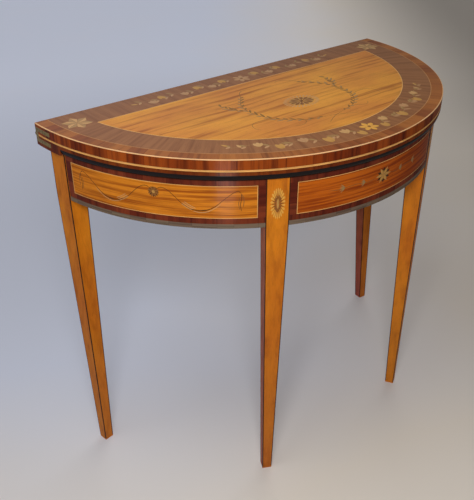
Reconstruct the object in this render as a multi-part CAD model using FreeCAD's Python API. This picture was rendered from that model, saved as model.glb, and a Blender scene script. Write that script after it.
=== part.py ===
import FreeCAD, Part
import math
import os

# Half-round fold-over table. Sizes are in millimetres. The pieces are laid out about the centre of the leaves'
# half circle, on the floor, with the front towards -Y, and are moved to the middle of their common box at the end.

# Leaves: two equal half-round boards, one on the other
leaf_radius = 457.0
table_height = 746.0
leaf_thickness = 20.6
leaf_gap = 0.4
veneer = 1.5

# Pattern of the top: field, pale lines, flower band and crossbanding
top_crossband = 22.5
flower_band_width = 57.0
back_band_width = 70.5
line_width = 1.5

# Ebonised moulding under the lower leaf's edge
bead_height = 12.4
bead_inset = 8.5
bead_seat = 3.0
bead_shadow = 0.4

# Frieze
frieze_setback = 9.0
frieze_height = 93.0
core_thickness = 19.0
frieze_crossband = 11.0
frieze_end_band = 14.0
frieze_line = 1.2
lower_band_height = 9.0
glue_line = 0.2

# Legs: square above, tapering below the frieze
front_leg_angle = 28.4
back_leg_angle = 83.4
leg_width = 42.0
leg_depth = 38.0
foot_width = 20.0
front_foot_shift = 5.0
back_foot_shift = -31.0
back_foot_splay = 6.5
leg_line = 1.6
leg_line_start = 4.0

# Joints between frieze, rails and legs
tenon_thickness = 10.0
tenon_length = 14.0
tenon_height = 60.0
tenon_root = 5.0

# Fixed rails inside the frame
rail_thickness = 22.0
back_rail_height = 85.0
medial_rail_width = 20.0
medial_rail_height = 60.0

# Gates: fly rails on wooden knuckles
gate_gap = 0.8
leaf_clearance = 0.6
rail_clearance = 1.0
fly_rail_thickness = 22.0
fly_rail_height = 78.0
pivot_spacing = 250.0
knuckle_fingers = 5
knuckle_clearance = 0.4
gate_pin_radius = 3.0
pin_clearance = 0.2

# Glue blocks in the angle of frieze and lower leaf
block_size = 18.0
block_length = 50.0
block_angles = (14.0, 44.0, 62.0)

# Screws that hold the lower leaf
screw_radius = 2.25
screw_head_radius = 4.5
screw_head_height = 3.0
screw_grip = 24.0
screw_hold = 13.0
counterbore_radius = 5.5
back_screw_spacing = 520.0
medial_screw_first = 180.0
medial_screw_last = 330.0

# Brass hinges let into the ends of the leaves
hinge_setback = 0.25
hinge_plate_thickness = 3.4
hinge_plate_height = 8.0
hinge_plate_rise = 10.3
hinge_plate_start = 4.0
hinge_plate_length = 46.0
hinge_arm_width = 10.0
hinge_eye_radius = 3.2
hinge_eye_gap = 0.2
hinge_notch_clearance = 0.4
hinge_pin_radius = 1.3
hinge_screw_places = (20.0, 40.0)
hinge_screw_radius = 1.4
hinge_screw_length = 14.0
hinge_screw_head_radius = 2.8
hinge_screw_head_height = 1.6
hinge_screw_sink = 0.1

# Heights and radii that follow
upper_top = table_height
upper_bottom = upper_top - leaf_thickness
joint_height = upper_bottom - leaf_gap / 2
lower_top = upper_bottom - leaf_gap
frame_top = lower_top - leaf_thickness
frieze_bottom = frame_top - frieze_height
frieze_radius = leaf_radius - frieze_setback
skin_inner = frieze_radius - veneer
core_radius = skin_inner - glue_line
core_inner = core_radius - core_thickness
band_radius = leaf_radius - veneer - top_crossband - line_width
field_radius = band_radius - flower_band_width - line_width
field_setback = back_band_width + line_width
bead_top = frame_top + bead_height
bead_foot = leaf_radius - bead_inset
leg_inner = frieze_radius - leg_depth
gate_top = frame_top - leaf_clearance
gate_bottom = gate_top - fly_rail_height

VERTICAL = FreeCAD.Vector(0, 0, 1)
CENTRE = FreeCAD.Vector(0, 0, 0)
SIDES = {"left": -1, "right": 1}


def place(side, angle, radius, along, height):
    """Point at a radius and a distance along the curve, towards the back, from a leg's centre line."""
    turn = math.radians(angle)
    x = side * (radius * math.sin(turn) + along * math.cos(turn))
    y = along * math.sin(turn) - radius * math.cos(turn)
    return FreeCAD.Vector(x, y, height)


# Rails take their places from the back legs' corners
back_leg_front = place(1, back_leg_angle, frieze_radius, -leg_width / 2, 0).y
rail_back = back_leg_front - rail_clearance
fly_front = place(1, back_leg_angle, leg_inner, -leg_width / 2, 0).y + rail_clearance
fly_back = fly_front + fly_rail_thickness
fly_centre = (fly_front + fly_back) / 2
barrel_radius = fly_rail_thickness / 2
shoulder = barrel_radius + knuckle_clearance
pivot = pivot_spacing / 2

# The frieze ends just short of the back legs, and its bays lie between the legs' sides
frieze_end = back_leg_angle - math.degrees(math.atan((leg_width / 2 + gate_gap) / leg_inner))
front_side = math.degrees(math.atan(leg_width / 2 / frieze_radius))
end_band_turn = math.degrees(frieze_end_band / frieze_radius)
line_turn = math.degrees(frieze_line / frieze_radius)


def sector(radius, low, high, start, stop):
    """Solid slice of a cylinder between two angles from the front, positive to the right."""
    slice_ = Part.makeCylinder(radius, high - low, FreeCAD.Vector(0, 0, low), VERTICAL, stop - start)
    slice_.rotate(CENTRE, VERTICAL, start - 90)
    return slice_


def ring(inner, outer, low, high, start=-90.0, stop=90.0):
    """Slice of a tube between two angles."""
    return sector(outer, low, high, start, stop).cut(sector(inner, low, high, start, stop))


def half_disc(radius, low, high):
    return sector(radius, low, high, -90.0, 90.0)


def moon(radius, setback, low, high):
    """Half disc cut short of the back edge by a setback."""
    strip = box(-leaf_radius, leaf_radius, -setback, leaf_radius, low, high)
    return half_disc(radius, low, high).cut(strip)


def box(x0, x1, y0, y1, z0, z1):
    return Part.makeBox(x1 - x0, y1 - y0, z1 - z0, FreeCAD.Vector(x0, y0, z0))


def upright(radius, x, y, low, high):
    return Part.makeCylinder(radius, high - low, FreeCAD.Vector(x, y, low), VERTICAL)


def turned(points, start, stop):
    """Ring whose section is a closed outline of (radius, height) points; a triple of points is an arc."""
    edges = []
    for piece in points:
        ends = [FreeCAD.Vector(0, -radius, height) for radius, height in piece]
        if len(ends) == 3:
            edges.append(Part.Arc(*ends).toShape())
        else:
            edges.append(Part.makeLine(*ends))
    face = Part.Face(Part.Wire(edges))
    face.rotate(CENTRE, VERTICAL, start)
    return face.revolve(CENTRE, VERTICAL, stop - start)


def rectangle(side, angle, inner, outer, front, rear, height):
    """Horizontal outline in a leg's own directions."""
    corners = [(inner, front), (outer, front), (outer, rear), (inner, rear), (inner, front)]
    return Part.makePolygon([place(side, angle, radius, along, height) for radius, along in corners])


def prism(side, angle, inner, outer, front, rear, low, high):
    """Upright block in a leg's own directions."""
    return Part.makeLoft([rectangle(side, angle, inner, outer, front, rear, low),
                          rectangle(side, angle, inner, outer, front, rear, high)], True, True)


def both_sides(shape):
    return shape.fuse(shape.mirror(CENTRE, FreeCAD.Vector(1, 0, 0)))


def leg_extent(height, shift, splay):
    """Inner, outer, front and rear limits of a leg at a height: straight above the frieze's bottom, tapered below."""
    share = min(height / frieze_bottom, 1.0)
    width = foot_width + (leg_width - foot_width) * share
    depth = foot_width + (leg_depth - foot_width) * share
    outer = frieze_radius + splay * (1 - share)
    middle = shift * (1 - share)
    return outer - depth, outer, middle - width / 2, middle + width / 2


def leg_body(side, angle, top, shift, splay):
    outlines = []
    for height in (0.0, frieze_bottom, top):
        outlines.append(rectangle(side, angle, *leg_extent(height, shift, splay), height))
    return Part.makeLoft(outlines, True, True)


def leg_lines(side, angle, top, shift, splay):
    """Four dark square lines, one let into each arris of a leg."""
    lines = []
    for at_outer in (False, True):
        for at_rear in (False, True):
            outlines = []
            for height in (leg_line_start, frieze_bottom, top):
                inner, outer, front, rear = leg_extent(height, shift, splay)
                radial = (outer - leg_line, outer) if at_outer else (inner, inner + leg_line)
                across = (rear - leg_line, rear) if at_rear else (front, front + leg_line)
                outlines.append(rectangle(side, angle, *radial, *across, height))
            lines.append(Part.makeLoft(outlines, True, True))
    return Part.makeCompound(lines)


def hinge_axis_rod(radius, inner, outer, side):
    """Rod along the leaves' turning line, between two distances from the middle of the table."""
    start = FreeCAD.Vector(side * inner, hinge_setback, joint_height)
    return Part.makeCylinder(radius, outer - inner, start, FreeCAD.Vector(side, 0, 0))


def hinge_angle(back):
    """Angle from the front of a point on the leaf's edge, by its distance from the back edge."""
    return 90.0 - math.degrees(math.asin(back / leaf_radius))


def hinge_band(side, near, far, low, high):
    """Curved plate in the leaf's end between two distances from the back edge."""
    start, stop = hinge_angle(far), hinge_angle(near)
    if side < 0:
        start, stop = -stop, -start
    return ring(leaf_radius - hinge_plate_thickness, leaf_radius, low, high, start, stop)


def hinge_screws(side, height):
    """Countersunk screws of one plate, along the leaf's radius."""
    screws = []
    for back in hinge_screw_places:
        turn = hinge_angle(back)
        inward = place(side, turn, -1.0, 0.0, 0.0)
        head_start = place(side, turn, leaf_radius - hinge_screw_sink, 0.0, height)
        head = Part.makeCylinder(hinge_screw_head_radius, hinge_screw_head_height, head_start, inward)
        shank = Part.makeCylinder(hinge_screw_radius, hinge_screw_length, head_start, inward)
        screws.append(head.fuse(shank))
    return screws


def hinge(side):
    """Upper and lower plate, pin, screws, and what each leaf is cut by for them."""
    eye_far = leaf_radius - hinge_plate_thickness
    eye_middle = (eye_far + leaf_radius) / 2
    eyes = {1: (eye_middle + hinge_eye_gap / 2, leaf_radius), -1: (eye_far, eye_middle - hinge_eye_gap / 2)}
    pin = hinge_axis_rod(hinge_pin_radius, eye_far, leaf_radius, side)
    notch = hinge_axis_rod(hinge_eye_radius + hinge_notch_clearance, eye_far - hinge_notch_clearance,
                           leaf_radius + hinge_notch_clearance, side)
    plates, screws, cuts = {}, {}, {}
    for up in (1, -1):
        middle = joint_height + up * hinge_plate_rise
        edge = joint_height + up * leaf_gap / 2
        far_edge = middle + up * hinge_plate_height / 2
        plate = hinge_band(side, hinge_plate_start, hinge_plate_start + hinge_plate_length,
                           middle - hinge_plate_height / 2, middle + hinge_plate_height / 2)
        arm = hinge_band(side, 0.0, hinge_arm_width, min(edge, far_edge), max(edge, far_edge))
        let_in = plate.fuse(arm)
        own = hinge_axis_rod(hinge_eye_radius, *eyes[up], side)
        other_low, other_high = eyes[-up]
        other = hinge_axis_rod(hinge_eye_radius + hinge_notch_clearance, other_low - hinge_eye_gap,
                               other_high + hinge_eye_gap, side)
        bore = hinge_pin_radius + (pin_clearance if up > 0 else 0.0)
        hole = hinge_axis_rod(bore, eye_far - pin_clearance, leaf_radius + pin_clearance, side)
        screws[up] = hinge_screws(side, middle)
        plates[up] = let_in.cut(other).fuse(own).cut(hole).cut(screws[up])
        cuts[up] = [let_in, notch] + screws[up]
    return plates, pin, screws, cuts


def leaf_screw(x, y):
    """Screw from below through a rail into the lower leaf."""
    head = upright(screw_head_radius, x, y, frame_top - screw_grip - screw_head_height, frame_top - screw_grip)
    return head.fuse(upright(screw_radius, x, y, frame_top - screw_grip, frame_top + screw_hold))


def screw_pocket(x, y):
    """Deep counterbore that a leaf screw is driven through."""
    return upright(counterbore_radius, x, y, frieze_bottom - frieze_height, frame_top - screw_grip)


def finger(side, index, shoulder_x, bore):
    """One finger of a knuckle, from a shoulder to the round end about the gate's pin."""
    step = fly_rail_height / knuckle_fingers
    low = gate_bottom + index * step
    high = low + step
    if index > 0:
        low += knuckle_clearance / 2
    if index < knuckle_fingers - 1:
        high -= knuckle_clearance / 2
    near, far = sorted((side * pivot, side * shoulder_x))
    web = box(near, far, fly_front, fly_back, low, high)
    round_end = upright(barrel_radius, side * pivot, fly_centre, low, high)
    return web.fuse(round_end).cut(upright(bore, side * pivot, fly_centre, low, high))


def knuckle_block():
    """Fixed middle of the gates' rail, with fingers at both ends."""
    reach = pivot - shoulder
    block = box(-reach, reach, rail_back, fly_back, gate_bottom, gate_top)
    for side in SIDES.values():
        for index in range(0, knuckle_fingers, 2):
            block = block.fuse(finger(side, index, reach, gate_pin_radius))
    return block.removeSplitter()


def rail_tenon(side):
    """Tenon of a fly rail in its back leg, square to the leg's inner face."""
    turn = math.radians(back_leg_angle)
    middle = (fly_centre + leg_inner * math.cos(turn)) / math.sin(turn)
    high = (gate_top + gate_bottom + tenon_height) / 2
    return prism(side, back_leg_angle, leg_inner - tenon_root, leg_inner + tenon_length,
                 middle - tenon_thickness / 2, middle + tenon_thickness / 2, high - tenon_height, high)


def fly_rail(side):
    near = pivot + shoulder
    x0, x1 = sorted((side * near, side * frieze_radius))
    rail = box(x0, x1, fly_front, fly_back, gate_bottom, gate_top)
    beyond = prism(side, back_leg_angle, leg_inner, frieze_radius + leg_depth, -leg_width, leg_width,
                   gate_bottom, gate_top)
    rail = rail.cut(beyond).fuse(rail_tenon(side))
    for index in range(1, knuckle_fingers, 2):
        rail = rail.fuse(finger(side, index, near, gate_pin_radius + pin_clearance))
    return rail.removeSplitter()


def core_tenon(side, towards):
    """Tenon of a frieze core in a front leg: towards is +1 for the bay behind the leg, -1 for the one in front."""
    middle = (core_inner + core_radius) / 2
    near, far = sorted((towards * (leg_width / 2 - tenon_length), towards * (leg_width / 2 + tenon_root)))
    high = (frame_top + frieze_bottom + tenon_height) / 2
    return prism(side, front_leg_angle, middle - tenon_thickness / 2, middle + tenon_thickness / 2,
                 near, far, high - tenon_height, high)


def leg_room(side):
    """Space that a front leg takes out of the frieze."""
    return prism(side, front_leg_angle, leg_inner, frieze_radius + leg_depth, -leg_width / 2, leg_width / 2,
                 frieze_bottom, frame_top)


def bays():
    """Each bay's angles, the front legs that bound it and the tenons that its core has."""
    return {
        "left": (-frieze_end, -front_leg_angle, [-1], [core_tenon(-1, 1)]),
        "centre": (-front_leg_angle, front_leg_angle, [-1, 1], [core_tenon(-1, -1), core_tenon(1, -1)]),
        "right": (front_leg_angle, frieze_end, [1], [core_tenon(1, 1)]),
    }


def panel_angles(start, stop):
    """Angles of a bay's satinwood panel, inside its end bands and lines."""
    leg_inset = front_side + end_band_turn + line_turn
    free_inset = end_band_turn + line_turn
    low = start + (leg_inset if abs(start) < frieze_end else free_inset)
    high = stop - (leg_inset if abs(stop) < frieze_end else free_inset)
    return low, high


def frieze_bay(start, stop, legs, tenons):
    """Core, panel, line frame, crossbanding and lower band of one bay."""
    rooms = [leg_room(side) for side in legs]
    low = frieze_bottom + lower_band_height
    panel_low = low + frieze_crossband + frieze_line
    panel_high = frame_top - frieze_crossband - frieze_line
    first, last = panel_angles(start, stop)
    core = ring(core_inner, core_radius, frieze_bottom, frame_top, start, stop).cut(rooms).fuse(tenons)
    panel = ring(skin_inner, frieze_radius, panel_low, panel_high, first, last)
    framed = ring(skin_inner, frieze_radius, panel_low - frieze_line, panel_high + frieze_line,
                  first - line_turn, last + line_turn)
    skin = ring(skin_inner, frieze_radius, low, frame_top, start, stop).cut(rooms)
    band = ring(skin_inner, frieze_radius, frieze_bottom, low, start, stop).cut(rooms)
    return {
        "frieze_core": core.removeSplitter(),
        "frieze_panel": panel,
        "frieze_line": framed.cut(panel),
        "frieze_crossband": skin.cut(framed),
        "frieze_lower_band": band,
    }


def upper_leaf(cuts):
    """The folding leaf: core, veneers, lines and edge."""
    face = upper_top - veneer
    field = moon(field_radius, field_setback, face, upper_top)
    lined = moon(field_radius + line_width, field_setback - line_width, face, upper_top)
    crossband_inner = band_radius + line_width
    edge = leaf_radius - veneer
    hinged = {
        "upper_leaf_core": half_disc(edge, upper_bottom + veneer, face),
        "upper_edge_band": ring(edge, leaf_radius, upper_bottom + veneer, face),
        "upper_lower_edge_line": ring(edge, leaf_radius, upper_bottom, upper_bottom + veneer),
        "upper_inside_veneer": half_disc(edge, upper_bottom, upper_bottom + veneer),
    }
    pieces = {node: shape.cut(cuts) for node, shape in hinged.items()}
    pieces.update({
        "top_field": field,
        "top_field_line": lined.cut(field),
        "top_flower_band": half_disc(band_radius, face, upper_top).cut(lined),
        "top_band_line": ring(band_radius, crossband_inner, face, upper_top),
        "top_crossband": ring(crossband_inner, edge, face, upper_top),
        "top_edge_line": ring(edge, leaf_radius, face, upper_top),
    })
    return pieces


def bead():
    """Convex moulding: flat on top, rounded from the leaf's edge down to the frieze."""
    outer = leaf_radius - bead_shadow
    inner = bead_foot - bead_seat
    half = math.radians(45)
    bulge = (bead_foot + (outer - bead_foot) * math.cos(half), bead_top - bead_height * math.sin(half))
    outline = [((inner, frame_top), (inner, bead_top)),
               ((inner, bead_top), (outer, bead_top)),
               ((outer, bead_top), bulge, (bead_foot, frame_top)),
               ((bead_foot, frame_top), (inner, frame_top))]
    return turned(outline, -frieze_end, frieze_end)


def lower_leaf(cuts, screws):
    """The fixed leaf: core, veneer, line, edge band and moulding."""
    edge = leaf_radius - veneer
    face = lower_top - veneer
    rebate = ring(bead_foot - bead_seat, leaf_radius, frame_top, bead_top, -frieze_end, frieze_end)
    core = half_disc(edge, frame_top, face).cut([rebate] + screws)
    band = ring(edge, leaf_radius, frame_top, face).cut(rebate)
    hinged = {
        "lower_leaf_core": core,
        "lower_edge_band": band,
        "lower_edge_line": ring(edge, leaf_radius, face, lower_top),
        "lower_inside_veneer": half_disc(edge, face, lower_top),
    }
    pieces = {node: shape.cut(cuts) for node, shape in hinged.items()}
    pieces["edge_moulding"] = bead()
    return pieces


def rails(screw_places):
    """Fixed back rail and medial rail, bored for the screws that hold the lower leaf."""
    inside = half_disc(core_inner, frieze_bottom, frame_top)
    front = rail_back - rail_thickness
    back = box(-core_inner, core_inner, front, rail_back, frame_top - back_rail_height, frame_top)
    half = medial_rail_width / 2
    medial = box(-half, half, -core_inner, front, frame_top - medial_rail_height, frame_top)
    bores = [leaf_screw(*place_) for place_ in screw_places] + [screw_pocket(*place_) for place_ in screw_places]
    return back.common(inside).cut(bores), medial.common(inside).cut(bores)


def glue_blocks():
    inside = half_disc(core_inner, frame_top - block_size, frame_top)
    blocks = []
    for side in SIDES.values():
        for angle in block_angles:
            block = prism(side, angle, core_inner - block_size, core_radius, -block_length / 2,
                          block_length / 2, frame_top - block_size, frame_top)
            blocks.append(block.common(inside))
    return Part.makeCompound(blocks)


def build():
    """All pieces by node name."""
    pieces = {}
    upper_cuts, lower_cuts = [], []
    upper_screws, lower_screws = [], []
    for name, side in SIDES.items():
        plates, pin, screws, cuts = hinge(side)
        pieces["hinge_upper_plate_" + name] = plates[1]
        pieces["hinge_lower_plate_" + name] = plates[-1]
        pieces["hinge_pin_" + name] = pin
        upper_screws += screws[1]
        lower_screws += screws[-1]
        upper_cuts += cuts[1]
        lower_cuts += cuts[-1]
    pieces["hinge_upper_screws"] = Part.makeCompound(upper_screws)
    pieces["hinge_lower_screws"] = Part.makeCompound(lower_screws)

    rail_middle = rail_back - rail_thickness / 2
    screw_places = [(-back_screw_spacing / 2, rail_middle), (back_screw_spacing / 2, rail_middle),
                    (0.0, -medial_screw_first), (0.0, -medial_screw_last)]
    leaf_screws = [leaf_screw(*place_) for place_ in screw_places]
    pieces["leaf_screws"] = Part.makeCompound(leaf_screws)
    pieces["back_rail"], pieces["medial_rail"] = rails(screw_places)
    pieces["glue_blocks"] = glue_blocks()
    pieces.update(upper_leaf(upper_cuts))
    pieces.update(lower_leaf(lower_cuts, leaf_screws))

    for bay, (start, stop, legs, tenons) in bays().items():
        for node, shape in frieze_bay(start, stop, legs, tenons).items():
            pieces[node + "_" + bay] = shape

    pieces["knuckle_block"] = knuckle_block()
    for name, side in SIDES.items():
        front = (side, front_leg_angle, frame_top, front_foot_shift, 0.0)
        back = (side, back_leg_angle, gate_top, back_foot_shift, back_foot_splay)
        front_lines = leg_lines(*front)
        back_lines = leg_lines(*back)
        mortises = [core_tenon(side, 1), core_tenon(side, -1)]
        pieces["front_leg_" + name] = leg_body(*front).cut([front_lines] + mortises)
        pieces["front_leg_lines_" + name] = front_lines
        pieces["back_leg_" + name] = leg_body(*back).cut([back_lines, rail_tenon(side)])
        pieces["back_leg_lines_" + name] = back_lines
        pieces["fly_rail_" + name] = fly_rail(side)
        pieces["gate_pin_" + name] = upright(gate_pin_radius, side * pivot, fly_centre, gate_bottom, gate_top)
    return pieces


def export(pieces):
    """Moves the pieces so that the origin is under the middle of their common box, and writes each one."""
    os.makedirs("parts", exist_ok=True)
    behind = hinge_setback + hinge_eye_radius
    to_middle = FreeCAD.Vector(0, (leaf_radius - behind) / 2, 0)
    for node, shape in pieces.items():
        shape.translate(to_middle)
        shape.exportStep("parts/" + node + ".step")


export(build())
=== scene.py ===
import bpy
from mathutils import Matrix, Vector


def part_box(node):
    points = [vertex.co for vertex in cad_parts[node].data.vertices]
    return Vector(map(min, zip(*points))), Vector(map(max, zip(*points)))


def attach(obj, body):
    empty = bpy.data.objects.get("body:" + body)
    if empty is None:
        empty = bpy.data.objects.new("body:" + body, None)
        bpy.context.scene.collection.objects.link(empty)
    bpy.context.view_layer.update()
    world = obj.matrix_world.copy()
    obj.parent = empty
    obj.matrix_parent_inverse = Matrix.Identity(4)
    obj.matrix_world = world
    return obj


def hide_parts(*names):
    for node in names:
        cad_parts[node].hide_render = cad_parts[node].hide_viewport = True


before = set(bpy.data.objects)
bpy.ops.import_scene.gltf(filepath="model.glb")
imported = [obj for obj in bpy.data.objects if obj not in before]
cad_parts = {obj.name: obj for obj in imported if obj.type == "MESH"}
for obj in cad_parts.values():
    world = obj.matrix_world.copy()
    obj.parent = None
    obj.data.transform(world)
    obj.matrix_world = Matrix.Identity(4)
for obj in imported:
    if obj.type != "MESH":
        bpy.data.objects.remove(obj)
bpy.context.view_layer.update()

import math

import bmesh
import bpy
import numpy as np
from mathutils import Matrix, Vector

bl_info = {
    "name": "Half-round folding table",
    "version": (1, 0, 0),
    "blender": (4, 5, 0),
    "location": "3D View > Sidebar > Table",
    "description": "Dresses the packed half-round table in veneers, inlay and polish",
    "category": "Object",
}

MM = 0.001
QUARTER, FULL_TURN = math.pi / 2, 2 * math.pi
SIDES = (("left", -1), ("right", 1))


def low(node):
    """Lowest corner of a CAD node, in metres."""
    return np.array(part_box(node)[0])


def high(node):
    """Highest corner of a CAD node, in metres."""
    return np.array(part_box(node)[1])


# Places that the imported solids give: the middle of the half circle, radii and heights
CENTRE_Y = high("top_edge_line")[1]
LEAF_RADIUS = high("top_edge_line")[0]
EDGE_RADIUS = high("top_crossband")[0]
BAND_LINE_OUTER = high("top_band_line")[0]
BAND_OUTER = high("top_flower_band")[0]
FIELD_LINE_OUTER = CENTRE_Y - low("top_field_line")[1]
FIELD_RADIUS = CENTRE_Y - low("top_field")[1]
FIELD_BACK = high("top_field")[1] - CENTRE_Y
FIELD_LINE_BACK = high("top_field_line")[1] - CENTRE_Y
TOP = high("top_field")[2]
TOP_UNDER = low("top_field")[2]
FRIEZE_RADIUS = CENTRE_Y - low("frieze_panel_centre")[1]
CORE_RADIUS = CENTRE_Y - low("frieze_core_centre")[1]
FRIEZE_INNER = FRIEZE_RADIUS - (TOP - TOP_UNDER)


def srgb(red, green, blue):
    """Linear colour of an 8-bit screen colour."""
    share = np.array((red, green, blue)) / 255.0
    linear = np.where(share <= 0.04045, share / 12.92, ((share + 0.055) / 1.055) ** 2.4)
    return tuple(float(value) for value in linear)


def length(name, description, millimetres):
    return bpy.props.FloatProperty(name=name, description=description, default=millimetres * MM, min=0.0,
                                   unit="LENGTH", precision=5)


def colour(name, description, *screen):
    return bpy.props.FloatVectorProperty(name=name, description=description, default=srgb(*screen), size=3,
                                         min=0.0, max=1.0, subtype="COLOR")


class DemiluneSizes(bpy.types.PropertyGroup):
    """Sizes of the veneers and inlay."""
    veneer_drop: length("Veneer drop", "How far the top veneers lie under the inlay's surface", 0.10)
    inlay_rise: length("Inlay rise", "Height of the inlay over the veneer round it", 0.08)
    inlay_sink: length("Inlay sink", "How far the inlay's rim is let into the veneer", 0.05)
    arris_round: length("Arris round", "Radius of the leaves' worn arrises", 1.0)
    edge_segment: length("Edge segment", "Mean length of the crossbanding's pieces", 38.0)
    star_width: length("Corner star", "Width of the stars in the back corners", 58.0)
    patera_width: length("Patera width", "Width of the oval in the field", 84.0)
    patera_depth: length("Patera depth", "Depth of the oval in the field", 60.0)
    fan_width: length("Leg fan width", "Width of the ovals on the front legs", 27.0)
    fan_height: length("Leg fan height", "Height of the ovals on the front legs", 62.0)
    hinge_height: length("Hinge height", "Height of the hinge plates in the edges", 8.0)
    moulding_inset: length("Moulding inset", "From the leaf's edge in to the moulding's foot", 8.5)
    moulding_shadow: length("Moulding shadow", "From the leaf's edge in to the moulding's brow", 0.4)
    moulding_seat: length("Moulding seat", "Depth of the moulding behind its foot", 3.0)
    core_thickness: length("Frieze core", "Thickness of the frieze behind its veneer", 19.0)
    leg_face: length("Leg face", "Distance of the front legs' outer faces from the middle", 448.0)
    front_leg_angle: bpy.props.FloatProperty(
        name="Front leg angle", description="Angle of the front legs from the middle of the front",
        default=math.radians(28.4), subtype="ANGLE")


class DemiluneColours(bpy.types.PropertyGroup):
    """Colours of the woods, the metals, the floor and the backdrop."""
    satin_light: colour("Satinwood light", "Pale figure of the satinwood", 224, 132, 30)
    satin_dark: colour("Satinwood dark", "Dark streaks of the satinwood", 172, 90, 22)
    field_light: colour("Field light", "Pale figure of the top's field", 229, 153, 59)
    field_dark: colour("Field dark", "Dark streaks of the top's field", 163, 89, 31)
    band_light: colour("Flower band light", "Pale lines of the flower band", 157, 105, 64)
    band_dark: colour("Flower band dark", "Dark lines of the flower band", 130, 81, 46)
    rim_light: colour("Rim light", "Pale pieces of the top's crossbanding", 163, 96, 43)
    rim_dark: colour("Rim dark", "Dark pieces of the top's crossbanding", 100, 52, 22)
    panel_light: colour("Panel light", "Light wood of the frieze's panels", 226, 138, 34)
    panel_dark: colour("Panel dark", "Streaks in the frieze's panels", 162, 80, 14)
    centre_panel_light: colour("Centre panel light", "Light wood of the redder centre panel", 206, 104, 20)
    centre_panel_dark: colour("Centre panel dark", "Streaks in the centre panel", 150, 62, 10)
    frieze_cross_light: colour("Frieze banding light", "Light wood of the frieze's banding", 118, 48, 26)
    frieze_cross_dark: colour("Frieze banding dark", "Dark stripes of the frieze's banding", 62, 20, 14)
    cross_light: colour("Crossbanding light", "Pale pieces of the edges' crossbanding", 152, 68, 18)
    cross_dark: colour("Crossbanding dark", "Dark pieces of the edges' crossbanding", 84, 28, 8)
    line: colour("Pale line", "Boxwood lines", 242, 184, 108)
    # The upper arris line is paler partly from its own boxwood, partly from a painted highlight
    edge_line: colour("Edge line", "Boxwood line on the upper arris of the top", 248, 198, 142)
    dim_line: colour("Dim line", "Line between the flower band and the crossbanding", 196, 140, 86)
    ebony: colour("Ebonised", "Moulding under the leaves", 26, 20, 21)
    leg_line: colour("Leg line", "Dark lines on the legs' arrises", 58, 34, 20)
    # The band's greyish colour is partly painted shade and painted reflection of the bluish backdrop
    lower_band: colour("Lower band", "Band under the frieze", 122, 104, 88)
    inside_light: colour("Inside light", "Pale figure of the mahogany", 164, 86, 48)
    inside_dark: colour("Inside dark", "Dark figure of the mahogany", 100, 46, 26)
    carcase_light: colour("Carcase light", "Pale grain of the plain wood", 176, 132, 84)
    carcase_dark: colour("Carcase dark", "Dark grain of the plain wood", 128, 86, 50)
    inlay_pale: colour("Pale inlay", "Holly and boxwood inlay", 212, 165, 106)
    inlay_gold: colour("Gold inlay", "Satinwood inlay", 204, 152, 78)
    inlay_bright: colour("Bright inlay", "Satinwood inlay of the fans and the front star", 238, 175, 75)
    inlay_rose: colour("Rose inlay", "Tulipwood inlay", 198, 150, 102)
    inlay_brown: colour("Brown inlay", "Walnut inlay", 150, 98, 46)
    inlay_leaf: colour("Leaf inlay", "Stained leaves of the dark band", 174, 136, 82)
    inlay_olive: colour("Olive inlay", "Stained leaves and stems of the field", 146, 108, 48)
    inlay_dark: colour("Dark inlay", "Dark lines and shading", 76, 46, 18)
    brass: colour("Brass", "Hinges", 150, 124, 66)
    steel: colour("Steel", "Hidden screws and pins", 120, 116, 108)
    # Floor colours carry painted light: cool light on the left, warm light in front and on the right
    floor_cool: colour("Floor, cool side", "Plain pale floor on the left", 206, 213, 232)
    floor_warm: colour("Floor, warm side", "Plain pale floor in front and on the right", 218, 211, 202)
    # Painted shade on the floor behind and beside the table
    floor_painted_shade: colour("Floor, far right", "Floor away from the light", 132, 126, 119)
    backdrop: colour("Backdrop", "Pale room, as the camera and reflections see it", 196, 204, 220)
    backdrop_dim: colour("Backdrop, far right", "Room away from the light", 144, 141, 136)
    ambient: colour("Ambient", "Dim light from all round", 82, 75, 67)


def sizes():
    return bpy.context.scene.demilune_sizes


# Surfaces

# Steps round and across a ring, round a swept section, across and into a half-moon, along and across a
# rectangle, and round an arris; fewest steps along a bent board, steps up it, and the turn of one along it
RING_STEPS, SWEEP_STEPS, MOON_STEPS, RECTANGLE_STEPS, ARRIS_STEPS = (240, 4), 260, (161, 25), (60, 3), 6
BOARD_STEPS, ARC_STEP = (8, 6), math.radians(0.75)
# Distances under which points are merged and slivers removed, and the angles in degrees that make a crease
WELD, SLIVER = 1e-6, 1e-7
CREASE, INLAY_CREASE = 35.0, 60.0


def stacked(*parts):
    """Arrays side by side along a new last axis."""
    return np.stack(parts, axis=-1)


def at_arc(radius, angle, height):
    """Points at a radius and an angle from the front about the middle of the half circle."""
    radius, angle, height = np.broadcast_arrays(radius, angle, height)
    return stacked(radius * np.sin(angle), CENTRE_Y - radius * np.cos(angle), height)


def crossed(first, second):
    """Two grids of values: the first changes along the rows, the second across them."""
    return np.meshgrid(first, second, indexing="ij")


def thick(outer, inner, uv):
    """Closed sheet: an outer grid, an inner grid turned over, and four walls between their borders."""
    i, j = outer.shape[0] // 2, outer.shape[1] // 2
    facing = np.cross(outer[i, j] - outer[i - 1, j], outer[i, j] - outer[i, j - 1])
    if np.dot(facing, outer[i, j] - inner[i, j]) < 0:
        outer, inner, uv = outer[::-1], inner[::-1], uv[::-1]

    def wall(near, far, border):
        return np.stack([near, far], axis=1), np.stack([border, border], axis=1)

    return [(outer, uv), (inner[::-1], uv[::-1]),
            wall(inner[:, 0], outer[:, 0], uv[:, 0]), wall(outer[:, -1], inner[:, -1], uv[:, -1]),
            wall(outer[0], inner[0], uv[0]), wall(inner[-1], outer[-1], uv[-1])]


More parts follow.
